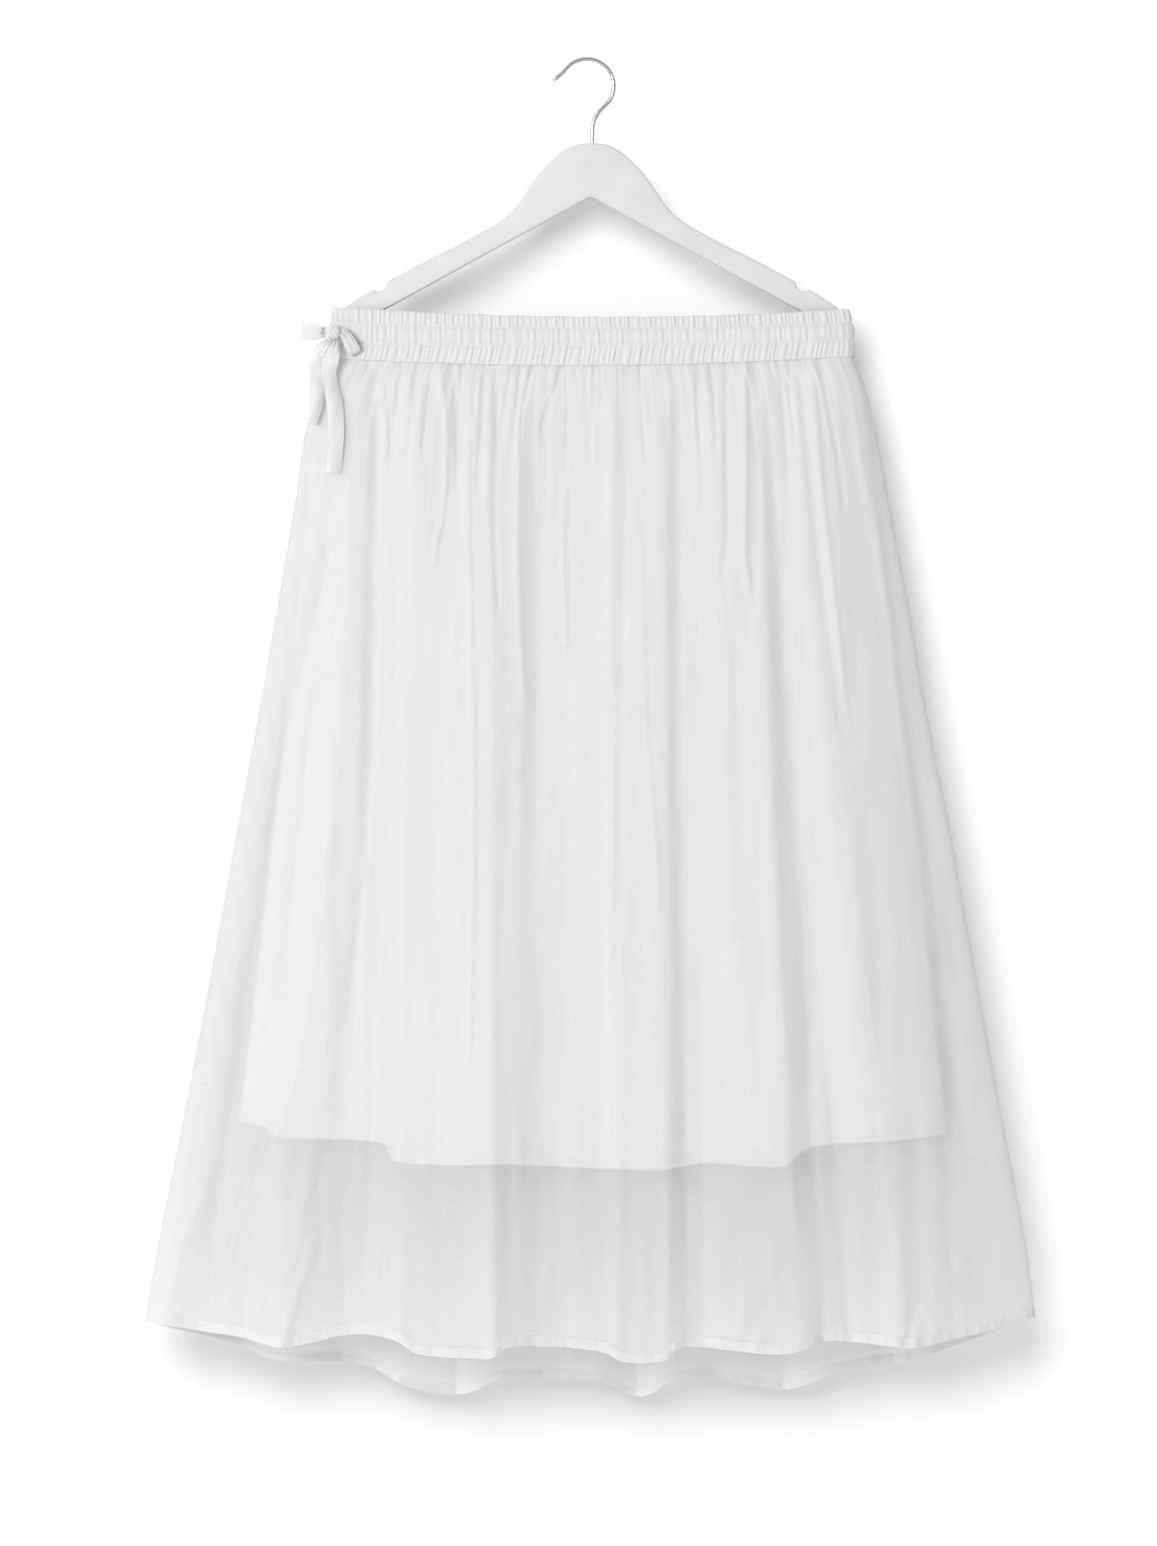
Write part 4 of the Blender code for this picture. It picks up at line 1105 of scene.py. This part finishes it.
class SKIRT_OT_stage(bpy.types.Operator):
    """Sets up the white wall, the floor, the soft lights and the camera"""

    bl_idname = "skirt.stage"
    bl_label = "Studio"

    def execute(self, context):
        settings = context.scene.gathered_skirt.stage
        self.backdrop(settings)
        self.lights(context.scene, settings)
        self.camera(context.scene, settings)
        return {"FINISHED"}

    def backdrop(self, settings):
        """A wall that curves into the floor, seen from in front and clear from behind."""
        material, tree = new_material("studio_white")
        side = add(tree, "ShaderNodeNewGeometry").outputs["Backfacing"]
        place_in = add(tree, "ShaderNodeTexCoord").outputs["Object"]
        mottle = scaled_noise(tree, place_in, (3.0, 3.0, 3.0), 2.0)
        tone = ramped(tree, mottle, 0.985, 1.0)
        base = tinted(tree, tone, settings.wall_colour)
        white = add(tree, "ShaderNodeBsdfDiffuse", {"Color": base})
        clear = add(tree, "ShaderNodeBsdfTransparent")
        both = add(tree, "ShaderNodeMixShader", {0: side, 1: white.outputs[0], 2: clear.outputs[0]})
        output(tree, both)
        gap, gap_at_hem, floor = settings.wall_gap, settings.wall_gap_at_hem, settings.floor_height
        steps = list(zip((gap, gap_at_hem), WALL_SLOPE))
        for k in range(BEND_STEPS + 1):
            angle = pi / 2.0 * k / BEND_STEPS
            across = gap_at_hem - WALL_BEND * (1.0 - cos(angle))
            steps.append((across, floor + WALL_BEND * (1.0 - sin(angle))))
        steps.append((gap_at_hem - FLOOR_DEPTH, floor))
        bm = bmesh.new()
        start = [bm.verts.new((x, gap, WALL_TOP)) for x in (-WALL_HALF_WIDTH, WALL_HALF_WIDTH)]
        edge = bm.edges.new(start)
        last = (gap, WALL_TOP)
        for y, z in steps:
            pulled = bmesh.ops.extrude_edge_only(bm, edges=[edge])["geom"]
            verts = [item for item in pulled if isinstance(item, bmesh.types.BMVert)]
            edge = next(item for item in pulled if isinstance(item, bmesh.types.BMEdge))
            bmesh.ops.translate(bm, vec=(0.0, y - last[0], z - last[1]), verts=verts)
            last = (y, z)
        backdrop = finish_mesh(bm, BACKDROP, material, Vector((0.0, -1.0, 1.0)))
        backdrop.visible_shadow = False

    def lights(self, scene, settings):
        world = bpy.data.worlds.new("studio_fill")
        scene.world = world
        world.use_nodes = True
        tree = world.node_tree
        direction = add(tree, "ShaderNodeTexCoord").outputs["Generated"]
        rearward = add(tree, "ShaderNodeSeparateXYZ", {0: direction}).outputs["Y"]
        front, rear = settings.fill_strength, settings.rear_strength
        strength = ramped(tree, rearward, front, rear, -FILL_EDGE, FILL_EDGE)
        background = tree.nodes["Background"]
        background.inputs["Color"].default_value = FILL_COLOUR
        tree.links.new(strength, background.inputs["Strength"])
        key = (KEY_LIGHT_AT, settings.key_size, settings.key_power)
        wall = (WALL_LIGHT_AT, settings.wall_light_size, settings.wall_power)
        back = (BACK_LIGHT_AT, BACK_LIGHT_SIZE, settings.back_power)
        for name, (place_at, size, power), reaches in (
            ("key_light", key, KEY_LIT),
            ("wall_light", wall, BACKDROP),
            ("back_light", back, BACK_LIT),
        ):
            lamp = bpy.data.lights.new(name, "AREA")
            lamp.shape = "DISK"
            lamp.size = size
            lamp.energy = power
            holder = bpy.data.objects.new(name, lamp)
            holder.location = place_at
            aim = LIGHT_TARGET - Vector(place_at)
            holder.rotation_euler = aim.to_track_quat("-Z", "Y").to_euler()
            scene.collection.objects.link(holder)
            holder.light_linking.receiver_collection = bpy.data.collections.new(reaches)
        bpy.data.collections[BACKDROP].objects.link(bpy.data.objects[BACKDROP])
        scene.view_settings.view_transform = "Standard"
        scene.cycles.max_bounces = BOUNCES
        scene.cycles.diffuse_bounces = SURFACE_BOUNCES
        scene.cycles.transmission_bounces = SURFACE_BOUNCES
        scene.cycles.glossy_bounces = SURFACE_BOUNCES

    def camera(self, scene, settings):
        """Level and square to the wall, framed as the picture is."""
        centre_x = (IMAGE_WIDTH / 2.0 - ORIGIN_PIXEL[0]) * MM_PER_PIXEL * MM
        centre_z = -(IMAGE_HEIGHT / 2.0 - ORIGIN_PIXEL[1]) * MM_PER_PIXEL * MM
        data = bpy.data.cameras.new("camera")
        data.sensor_width = SENSOR_WIDTH
        picture_height = IMAGE_HEIGHT * MM_PER_PIXEL * MM
        data.lens = data.sensor_width * settings.camera_distance / picture_height
        camera = bpy.data.objects.new("camera", data)
        camera.location = (centre_x, -settings.camera_distance, centre_z)
        camera.rotation_euler = (pi / 2.0, 0.0, 0.0)
        scene.collection.objects.link(camera)
        scene.camera = camera


def tie_stations(route, stations):
    """Centres, side directions and widths of a hanging end of the tie."""
    rows = smooth_route(route, stations)
    along = unit(np.gradient(rows[:, :3], axis=0))
    along[0] = (0.0, 0.0, -1.0)
    turn = np.radians(rows[:, 3])
    level = np.stack([np.cos(turn), np.sin(turn), 0.0 * turn], axis=-1)
    side = unit(level - along * np.sum(along * level, axis=-1, keepdims=True))
    return rows[:, :3], side, np.cross(along, side), rows[:, 4]


def ribbon(name, centres, sides, faces, widths, material, pinch, seed):
    """A flat tie through stations: puckered where the knot pinches it, limp and creased beyond.
    pinch names its pinched ends, 0 the first and 1 the last."""
    rows = len(centres) - 1
    bm, across, down = cloth_grid(TIE_COLUMNS, rows, TIE_UV)
    station = np.rint(down * rows).astype(int)
    run = run_along(centres)
    travelled = run[station]
    s = across - 0.5
    gathered = np.zeros_like(s)
    for end in pinch:
        distance = np.abs(travelled - (0.0 if end == 0 else run[-1]))
        gathered += np.exp(-distance / PINCH_REACH)
    waves = PINCH_HEIGHT * gathered * np.sin(2 * pi * PINCH_WAVES * across + seed)
    limp = 0.5 * np.sin(travelled / 9.0 + 4.0 * s + seed) + s * np.sin(travelled / 14.0 + seed)
    crumple = CRUMPLE_HEIGHT * drift(across * 9.0, travelled, 3.0, 8.0, 40.0 + seed)
    rounded = TIE_ROUNDING * (0.25 - s * s) * 4.0
    depth = waves + limp + crumple + rounded
    points = centres[station] + sides[station] * (s * widths[station])[:, None]
    points += faces[station] * depth[:, None]
    place(bm, points)
    piece = finish_mesh(bm, name, material)
    thicken(piece, TIE_SHELL * MM, 0.0)
    return piece


def loop_stations(loop, stations):
    """Centres, broad directions, faces and widths round a bow loop."""
    side, reach, droop, opening, knot_width, width = loop
    angle = radians(droop)
    level = np.array((side, 0.0, 0.0))
    out = np.array((side * cos(angle), 0.0, -sin(angle)))
    upright = np.array((0.0, 0.0, 1.0))
    broad = np.array((side * sin(angle), 0.0, cos(angle)))
    root = np.array(KNOT) + level * (KNOT_SIZE[0] / 2.0 + LOOP_ROOT)
    turn = np.linspace(0.0, pi, stations)
    reached = reach * np.clip(np.sin(turn), 0.0, 1.0) ** 0.8
    lead = LOOP_LEAD * (1.0 - np.exp(-reached / LOOP_LEAD))
    parted = ease(reached / LOOP_LEAD)
    layer = LOOP_LAYER_OFFSET + (opening / 2.0 - LOOP_LAYER_OFFSET) * parted
    centres = root + lead[:, None] * level + (reached - lead)[:, None] * out
    centres[:, 1] -= layer * np.cos(turn)
    broads = unit(upright + (broad - upright) * parted[:, None])
    along = unit(np.gradient(centres, axis=0))
    along[0], along[-1] = level, -level
    faces = unit(np.cross(along, broads))
    widths = knot_width + (width - knot_width) * ease(1.6 * reached / reach)
    return centres, broads, faces, widths


class SKIRT_OT_drawstring(bpy.types.Operator):
    """Ties the flat drawstring in its bow: two free ends, two loops and the knot"""

    bl_idname = "skirt.drawstring"
    bl_label = "Drawstring"

    def execute(self, context):
        cloth = context.scene.gathered_skirt.cloth
        material = woven(
            "tie_cloth",
            cloth.tie_colour,
            openness=0.45,
            passes=0.15,
            flat=TIE_WEAVE,
            uv_name=TIE_UV,
        )
        for name, route, seed in (
            ("tie_end_left", LEFT_TAIL, 0.6),
            ("tie_end_right", RIGHT_TAIL, 2.1),
        ):
            centres, sides, faces, widths = tie_stations(route, TIE_STATIONS)
            piece = ribbon(name, centres, sides, faces, widths, material, (0,), seed)
            dress(piece, "tie", name.replace("tie_end", "tie_tail"))
        knot = self.knot(material)
        for name, loop, seed in (
            ("tie_bow_left", LEFT_LOOP, 1.0),
            ("tie_bow_right", RIGHT_LOOP, 3.0),
        ):
            centres, broads, faces, widths = loop_stations(loop, TIE_STATIONS)
            piece = ribbon(name, centres, broads, faces, widths, material, (0, 1), seed)
            dress(piece, "tie", name.replace("bow", "loop"))
        return {"FINISHED"}

    def knot(self, material):
        """A soft lump with the tie's turns wrapped round it."""
        bm = bmesh.new()
        bm.loops.layers.uv.new(TIE_UV)
        bmesh.ops.create_cube(bm, size=2.0, calc_uvs=True)
        bmesh.ops.subdivide_edges(bm, edges=bm.edges[:], cuts=KNOT_CUTS, use_grid_fill=True)
        for vert in bm.verts:
            length = sum(abs(part) ** KNOT_SQUARENESS for part in vert.co) ** (1 / KNOT_SQUARENESS)
            unit_point = vert.co / length
            wrap = KNOT_WRAP * sin(9.0 * unit_point.x + 5.0 * unit_point.z)
            dent = KNOT_DENT * noise.noise(unit_point * 2.6 + Vector((3.0, 1.0, 7.0)))
            scale = 1.0 + wrap + dent - KNOT_DENT
            out = Vector(part * size / 2.0 * scale for part, size in zip(unit_point, KNOT_SIZE))
            vert.co = (out + KNOT) * MM
        piece = finish_mesh(bm, "tie_wrapped_knot", material)
        return dress(piece, "tie", "tie_knot")


def hem_of(side, lining=False):
    if lining:
        return LINING_FRONT_HEM if side == FRONT else LINING_BACK_HEM
    return FRONT_HEM if side == FRONT else BACK_HEM


def hem_end(hem, share):
    """Height of a hem's end at this share of its width."""
    x = hem[0, 0] + (hem[-1, 0] - hem[0, 0]) * share
    return smooth(x, hem[:, 0], hem[:, 1])


def hang(surface, side, grid, overlap, hem, crinkle):
    """Mesh of a panel that hangs from just above the waistband's seam down to its hem."""
    columns, rows = grid
    bm, u, v = cloth_grid(columns, rows, VOILE_UV)
    share = packed_share(u, PANEL_PACKING)
    top = band_height(SKIRT_SEAM, share) + overlap
    end = hem_end(hem, share)
    above = drop_rows(v, rows, top - end)
    place(bm, surface(side, share, end + above, above, crinkle))
    return bm


class SKIRT_OT_voile(bpy.types.Operator):
    """Hangs the outer front and back panels from the waistband"""

    bl_idname = "skirt.voile"
    bl_label = "Outer skirt"

    def execute(self, context):
        cloth = context.scene.gathered_skirt.cloth
        material = woven(
            "sheer_voile",
            cloth.voile_colour,
            cloth.voile_openness,
            passes=0.15,
            flat=VOILE_FLAT,
            uv_name=VOILE_UV,
            raised=False,
        )
        turned = woven(
            "turned_hem",
            cloth.hem_colour,
            openness=0.0,
            passes=0.38,
            flat=VOILE_FLAT,
            uv_name=VOILE_UV,
        )
        grid = (cloth.columns, cloth.rows)
        for name, side in (("voile_front", FRONT), ("voile_back", BACK)):
            bm = hang(panel_surface, side, grid, SEAM_OVERLAP, hem_of(side), cloth.crinkle / MM)
            close_hem(bm, material_index=1)
            piece = finish_mesh(bm, name, material, Vector((0.0, side, 0.0)))
            piece.data.materials.append(turned)
            thicken(piece, cloth.voile_shell, -1.0)
            dress(piece, "voile", name.replace("voile", "skirt"))
        return {"FINISHED"}


class SKIRT_OT_lining(bpy.types.Operator):
    """Hangs the closer woven lining inside the outer skirt"""

    bl_idname = "skirt.lining"
    bl_label = "Lining"

    def execute(self, context):
        cloth = context.scene.gathered_skirt.cloth
        material = woven(
            "lining_lawn",
            cloth.lining_colour,
            cloth.lining_openness,
            passes=0.1,
            flat=LINING_FLAT,
            uv_name=VOILE_UV,
            slub=0.5,
            raised=False,
        )
        crinkle = cloth.crinkle / MM
        for name, side in (("lawn_front", FRONT), ("lawn_back", BACK)):
            hem = hem_of(side, lining=True)
            bm = hang(lining_surface, side, LINING_GRID, LINING_OVERLAP, hem, crinkle)
            piece = finish_mesh(bm, name, material, Vector((0.0, side, 0.0)))
            thicken(piece, cloth.lining_shell, -1.0)
            dress(piece, "lining", name.replace("lawn", "lining"))
        return {"FINISHED"}


class SKIRT_OT_waistband(bpy.types.Operator):
    """Shirrs the waistband: two elastic rows with the smoother cord channel between"""

    bl_idname = "skirt.waistband"
    bl_label = "Waistband"

    def execute(self, context):
        cloth = context.scene.gathered_skirt.cloth
        material = woven(
            "shirred_voile",
            cloth.folded_colour,
            openness=0.0,
            passes=0.15,
            flat=BAND_FLAT,
            uv_name=VOILE_UV,
        )
        for name, side in (("band_front", FRONT), ("band_back", BACK)):
            bm, u, v = cloth_grid(*BAND_GRID, VOILE_UV)
            place(bm, band_surface(side, packed_share(u, BAND_PACKING), v * BAND_ROWS))
            piece = finish_mesh(bm, name, material, Vector((0.0, side, 0.0)))
            thicken(piece, cloth.band_shell, -1.0)
            dress(piece, "waistband", name.replace("band", "waistband"))
        return {"FINISHED"}


class SKIRT_OT_stitching(bpy.types.Operator):
    """Sews the lines of the waistband and the hems"""

    bl_idname = "skirt.stitching"
    bl_label = "Stitching"

    def execute(self, context):
        cloth = context.scene.gathered_skirt.cloth
        material = thread_material(cloth.lining_colour)
        pitch = cloth.stitch_pitch / MM
        for side, where in ((FRONT, "front"), (BACK, "back")):
            lines = []
            for level in STITCHED_LEVELS:
                share = np.linspace(*BAND_STITCHED, int(BAND_LENGTH / pitch) * 2)
                lines.append(band_surface(side, share, np.full_like(share, level)))
            self.sew("band_stitching_" + where, lines, side, material, "waistband")
            lines = []
            for surface, hem, length in (
                (panel_surface, hem_of(side), HEM_LENGTH),
                (lining_surface, hem_of(side, lining=True), LINING_HEM_LENGTH),
            ):
                share = np.linspace(*HEM_STITCHED, int(length / pitch) * 2)
                end = hem_end(hem, share)
                above = np.full_like(share, HEM_STITCHING)
                lines.append(surface(side, share, end + above, above, cloth.crinkle / MM))
            self.sew("hem_stitching_" + where, lines, side, material, "voile")
        return {"FINISHED"}

    def sew(self, name, lines, side, material, slot):
        """One short thread over every second step of each line."""
        bm = bmesh.new()
        for line in lines:
            for start, end in zip(line[0::2], line[1::2]):
                a, b = Vector(start) * MM, Vector(end) * MM
                along = b - a
                middle = (a + b) / 2.0 + Vector((0.0, side * THREAD_LIFT * MM, 0.0))
                turned = along.to_track_quat("Z", "Y").to_matrix().to_4x4()
                bmesh.ops.create_cone(
                    bm,
                    cap_ends=True,
                    segments=THREAD_SIDES,
                    radius1=THREAD_RADIUS * MM,
                    radius2=THREAD_RADIUS * MM,
                    depth=along.length * STITCH_OVERLAP,
                    matrix=Matrix.Translation(middle) @ turned,
                )
        piece = finish_mesh(bm, name, material)
        return dress(piece, slot)


class SKIRT_OT_hanger(bpy.types.Operator):
    """Shapes the painted wooden body of the hanger"""

    bl_idname = "skirt.hanger"
    bl_label = "Hanger"

    def half_outline(self):
        """Right half: crown and upper edge as one smooth curve, notch, shoulder, tip, underside."""
        crown = np.array(HANGER_CROWN)
        run = run_along(crown)
        wanted = np.linspace(0.0, run[-1], HANGER_CROWN_STATIONS)
        curve = np.stack([smooth(wanted, run, crown[:, k]) for k in range(2)], axis=-1)
        points = [tuple(point) for point in curve]
        points += list(HANGER_NOTCH) + list(HANGER_SHOULDER)
        centre = HANGER_REACH - HANGER_TIP_RADIUS
        first, last = radians(HANGER_TIP_FROM), atan2(-1.0, HANGER_UNDERSIDE_SLOPE)
        for k in range(HANGER_TIP_STEPS + 1):
            angle = first + (last - first) * k / HANGER_TIP_STEPS
            x = centre + HANGER_TIP_RADIUS * cos(angle)
            points.append((x, HANGER_TIP_HEIGHT + HANGER_TIP_RADIUS * sin(angle)))
        bend, drop = HANGER_APEX_BEND
        for x in (centre - HANGER_UNDERSIDE_END, bend):
            points.append((x, HANGER_APEX - HANGER_UNDERSIDE_SLOPE * x))
        points.append((0.0, HANGER_APEX - drop))
        return points

    def execute(self, context):
        settings = context.scene.gathered_skirt.hanger
        half = self.half_outline()
        outline = half + [(-x, z) for x, z in reversed(half[1:-1])]
        bm = bmesh.new()
        verts = [
            bm.verts.new(((HANGER_MIDDLE + x) * MM, -HANGER_HALF_THICKNESS * MM, z * MM))
            for x, z in outline
        ]
        face = bm.faces.new(verts)
        pulled = bmesh.ops.extrude_face_region(bm, geom=[face])["geom"]
        moved = [item for item in pulled if isinstance(item, bmesh.types.BMVert)]
        bmesh.ops.translate(bm, vec=(0.0, 2.0 * HANGER_HALF_THICKNESS * MM, 0.0), verts=moved)
        rims = [
            edge
            for edge in bm.edges
            if abs(edge.verts[0].co.y - edge.verts[1].co.y) < HANGER_HALF_THICKNESS * MM
        ]
        bmesh.ops.bevel(
            bm,
            geom=rims,
            offset=settings.edge_radius,
            segments=HANGER_EDGE_STEPS,
            profile=0.5,
            affect="EDGES",
            material=-1,
            clamp_overlap=True,
        )
        bmesh.ops.recalc_face_normals(bm, faces=bm.faces)
        piece = finish_mesh(bm, "painted_hanger", paint_material(settings.paint_colour))
        piece.data.set_sharp_from_angle(angle=radians(30.0))
        dress(piece, "painted_wood", "hanger_body")
        return {"FINISHED"}


class SKIRT_OT_hook(bpy.types.Operator):
    """Bends the wire hook"""

    bl_idname = "skirt.hook"
    bl_label = "Hook"

    def execute(self, context):
        settings = context.scene.gathered_skirt.hanger
        start, end = (radians(angle) for angle in HOOK_ARC)
        arc = []
        for k in range(HOOK_ARC_STEPS + 1):
            angle = start + (end - start) * k / HOOK_ARC_STEPS
            x = HOOK_CENTRE[0] + HOOK_RADIUS * cos(angle)
            arc.append((x, HOOK_CENTRE[1] + HOOK_RADIUS * sin(angle)))
        bends = list(HOOK_LIP) + arc + list(HOOK_NECK) + [HOOK_STEM]
        route = smooth_route([(x, 0.0, z) for x, z in bends], HOOK_STATIONS)
        curve = bpy.data.curves.new("wire_hook", "CURVE")
        curve.dimensions = "3D"
        curve.bevel_depth = WIRE / 2.0 * MM
        curve.bevel_resolution = 6
        curve.use_fill_caps = True
        spline = curve.splines.new("POLY")
        spline.points.add(len(route) - 1)
        for k, (point, (x, y, z)) in enumerate(zip(spline.points, route)):
            point.co = (x * MM, y * MM, z * MM, 1.0)
            left = 1.0 - min(k / 2.0, 1.0)
            point.radius = (1.0 - left**2) ** 0.5 if k else HOOK_END_RADIUS
        curve.materials.append(wire_material(settings.wire_colour))
        piece = bpy.data.objects.new("wire_hook", curve)
        context.scene.collection.objects.link(piece)
        dress(piece, "steel_wire", "hanger_hook")
        return {"FINISHED"}


class SKIRT_PT_panel(bpy.types.Panel):
    """Lists the skirt's pieces and settings in the sidebar"""

    bl_idname = "SKIRT_PT_panel"
    bl_label = "Gathered Skirt"
    bl_space_type = "VIEW_3D"
    bl_region_type = "UI"
    bl_category = "Skirt"

    def draw(self, context):
        settings = context.scene.gathered_skirt
        for title, group, operators in (
            ("Cloth", settings.cloth, CLOTH_OPERATORS),
            ("Hanger", settings.hanger, HANGER_OPERATORS),
            ("Studio", settings.stage, STAGE_OPERATORS),
        ):
            box = self.layout.box()
            box.label(text=title)
            for name in group.bl_rna.properties.keys():
                if name not in ("rna_type", "name"):
                    box.prop(group, name)
            for operator in operators:
                box.operator(operator.bl_idname)


STAGE_OPERATORS = (SKIRT_OT_stage,)
CLOTH_OPERATORS = (
    SKIRT_OT_drawstring,
    SKIRT_OT_voile,
    SKIRT_OT_lining,
    SKIRT_OT_waistband,
    SKIRT_OT_stitching,
)
HANGER_OPERATORS = (SKIRT_OT_hanger, SKIRT_OT_hook)
CLASSES = (
    ClothSettings,
    HangerSettings,
    StageSettings,
    SkirtSettings,
    *STAGE_OPERATORS,
    *CLOTH_OPERATORS,
    *HANGER_OPERATORS,
    SKIRT_PT_panel,
)


def register():
    for kind in CLASSES:
        bpy.utils.register_class(kind)
    bpy.types.Scene.gathered_skirt = PointerProperty(type=SkirtSettings)


def unregister():
    del bpy.types.Scene.gathered_skirt
    for kind in reversed(CLASSES):
        bpy.utils.unregister_class(kind)


def main():
    register()
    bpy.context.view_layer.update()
    bpy.ops.skirt.stage()
    bpy.ops.skirt.drawstring()
    bpy.ops.skirt.voile()
    bpy.ops.skirt.lining()
    bpy.ops.skirt.waistband()
    bpy.ops.skirt.stitching()
    bpy.ops.skirt.hanger()
    bpy.ops.skirt.hook()


if __name__ == "__main__":
    main()
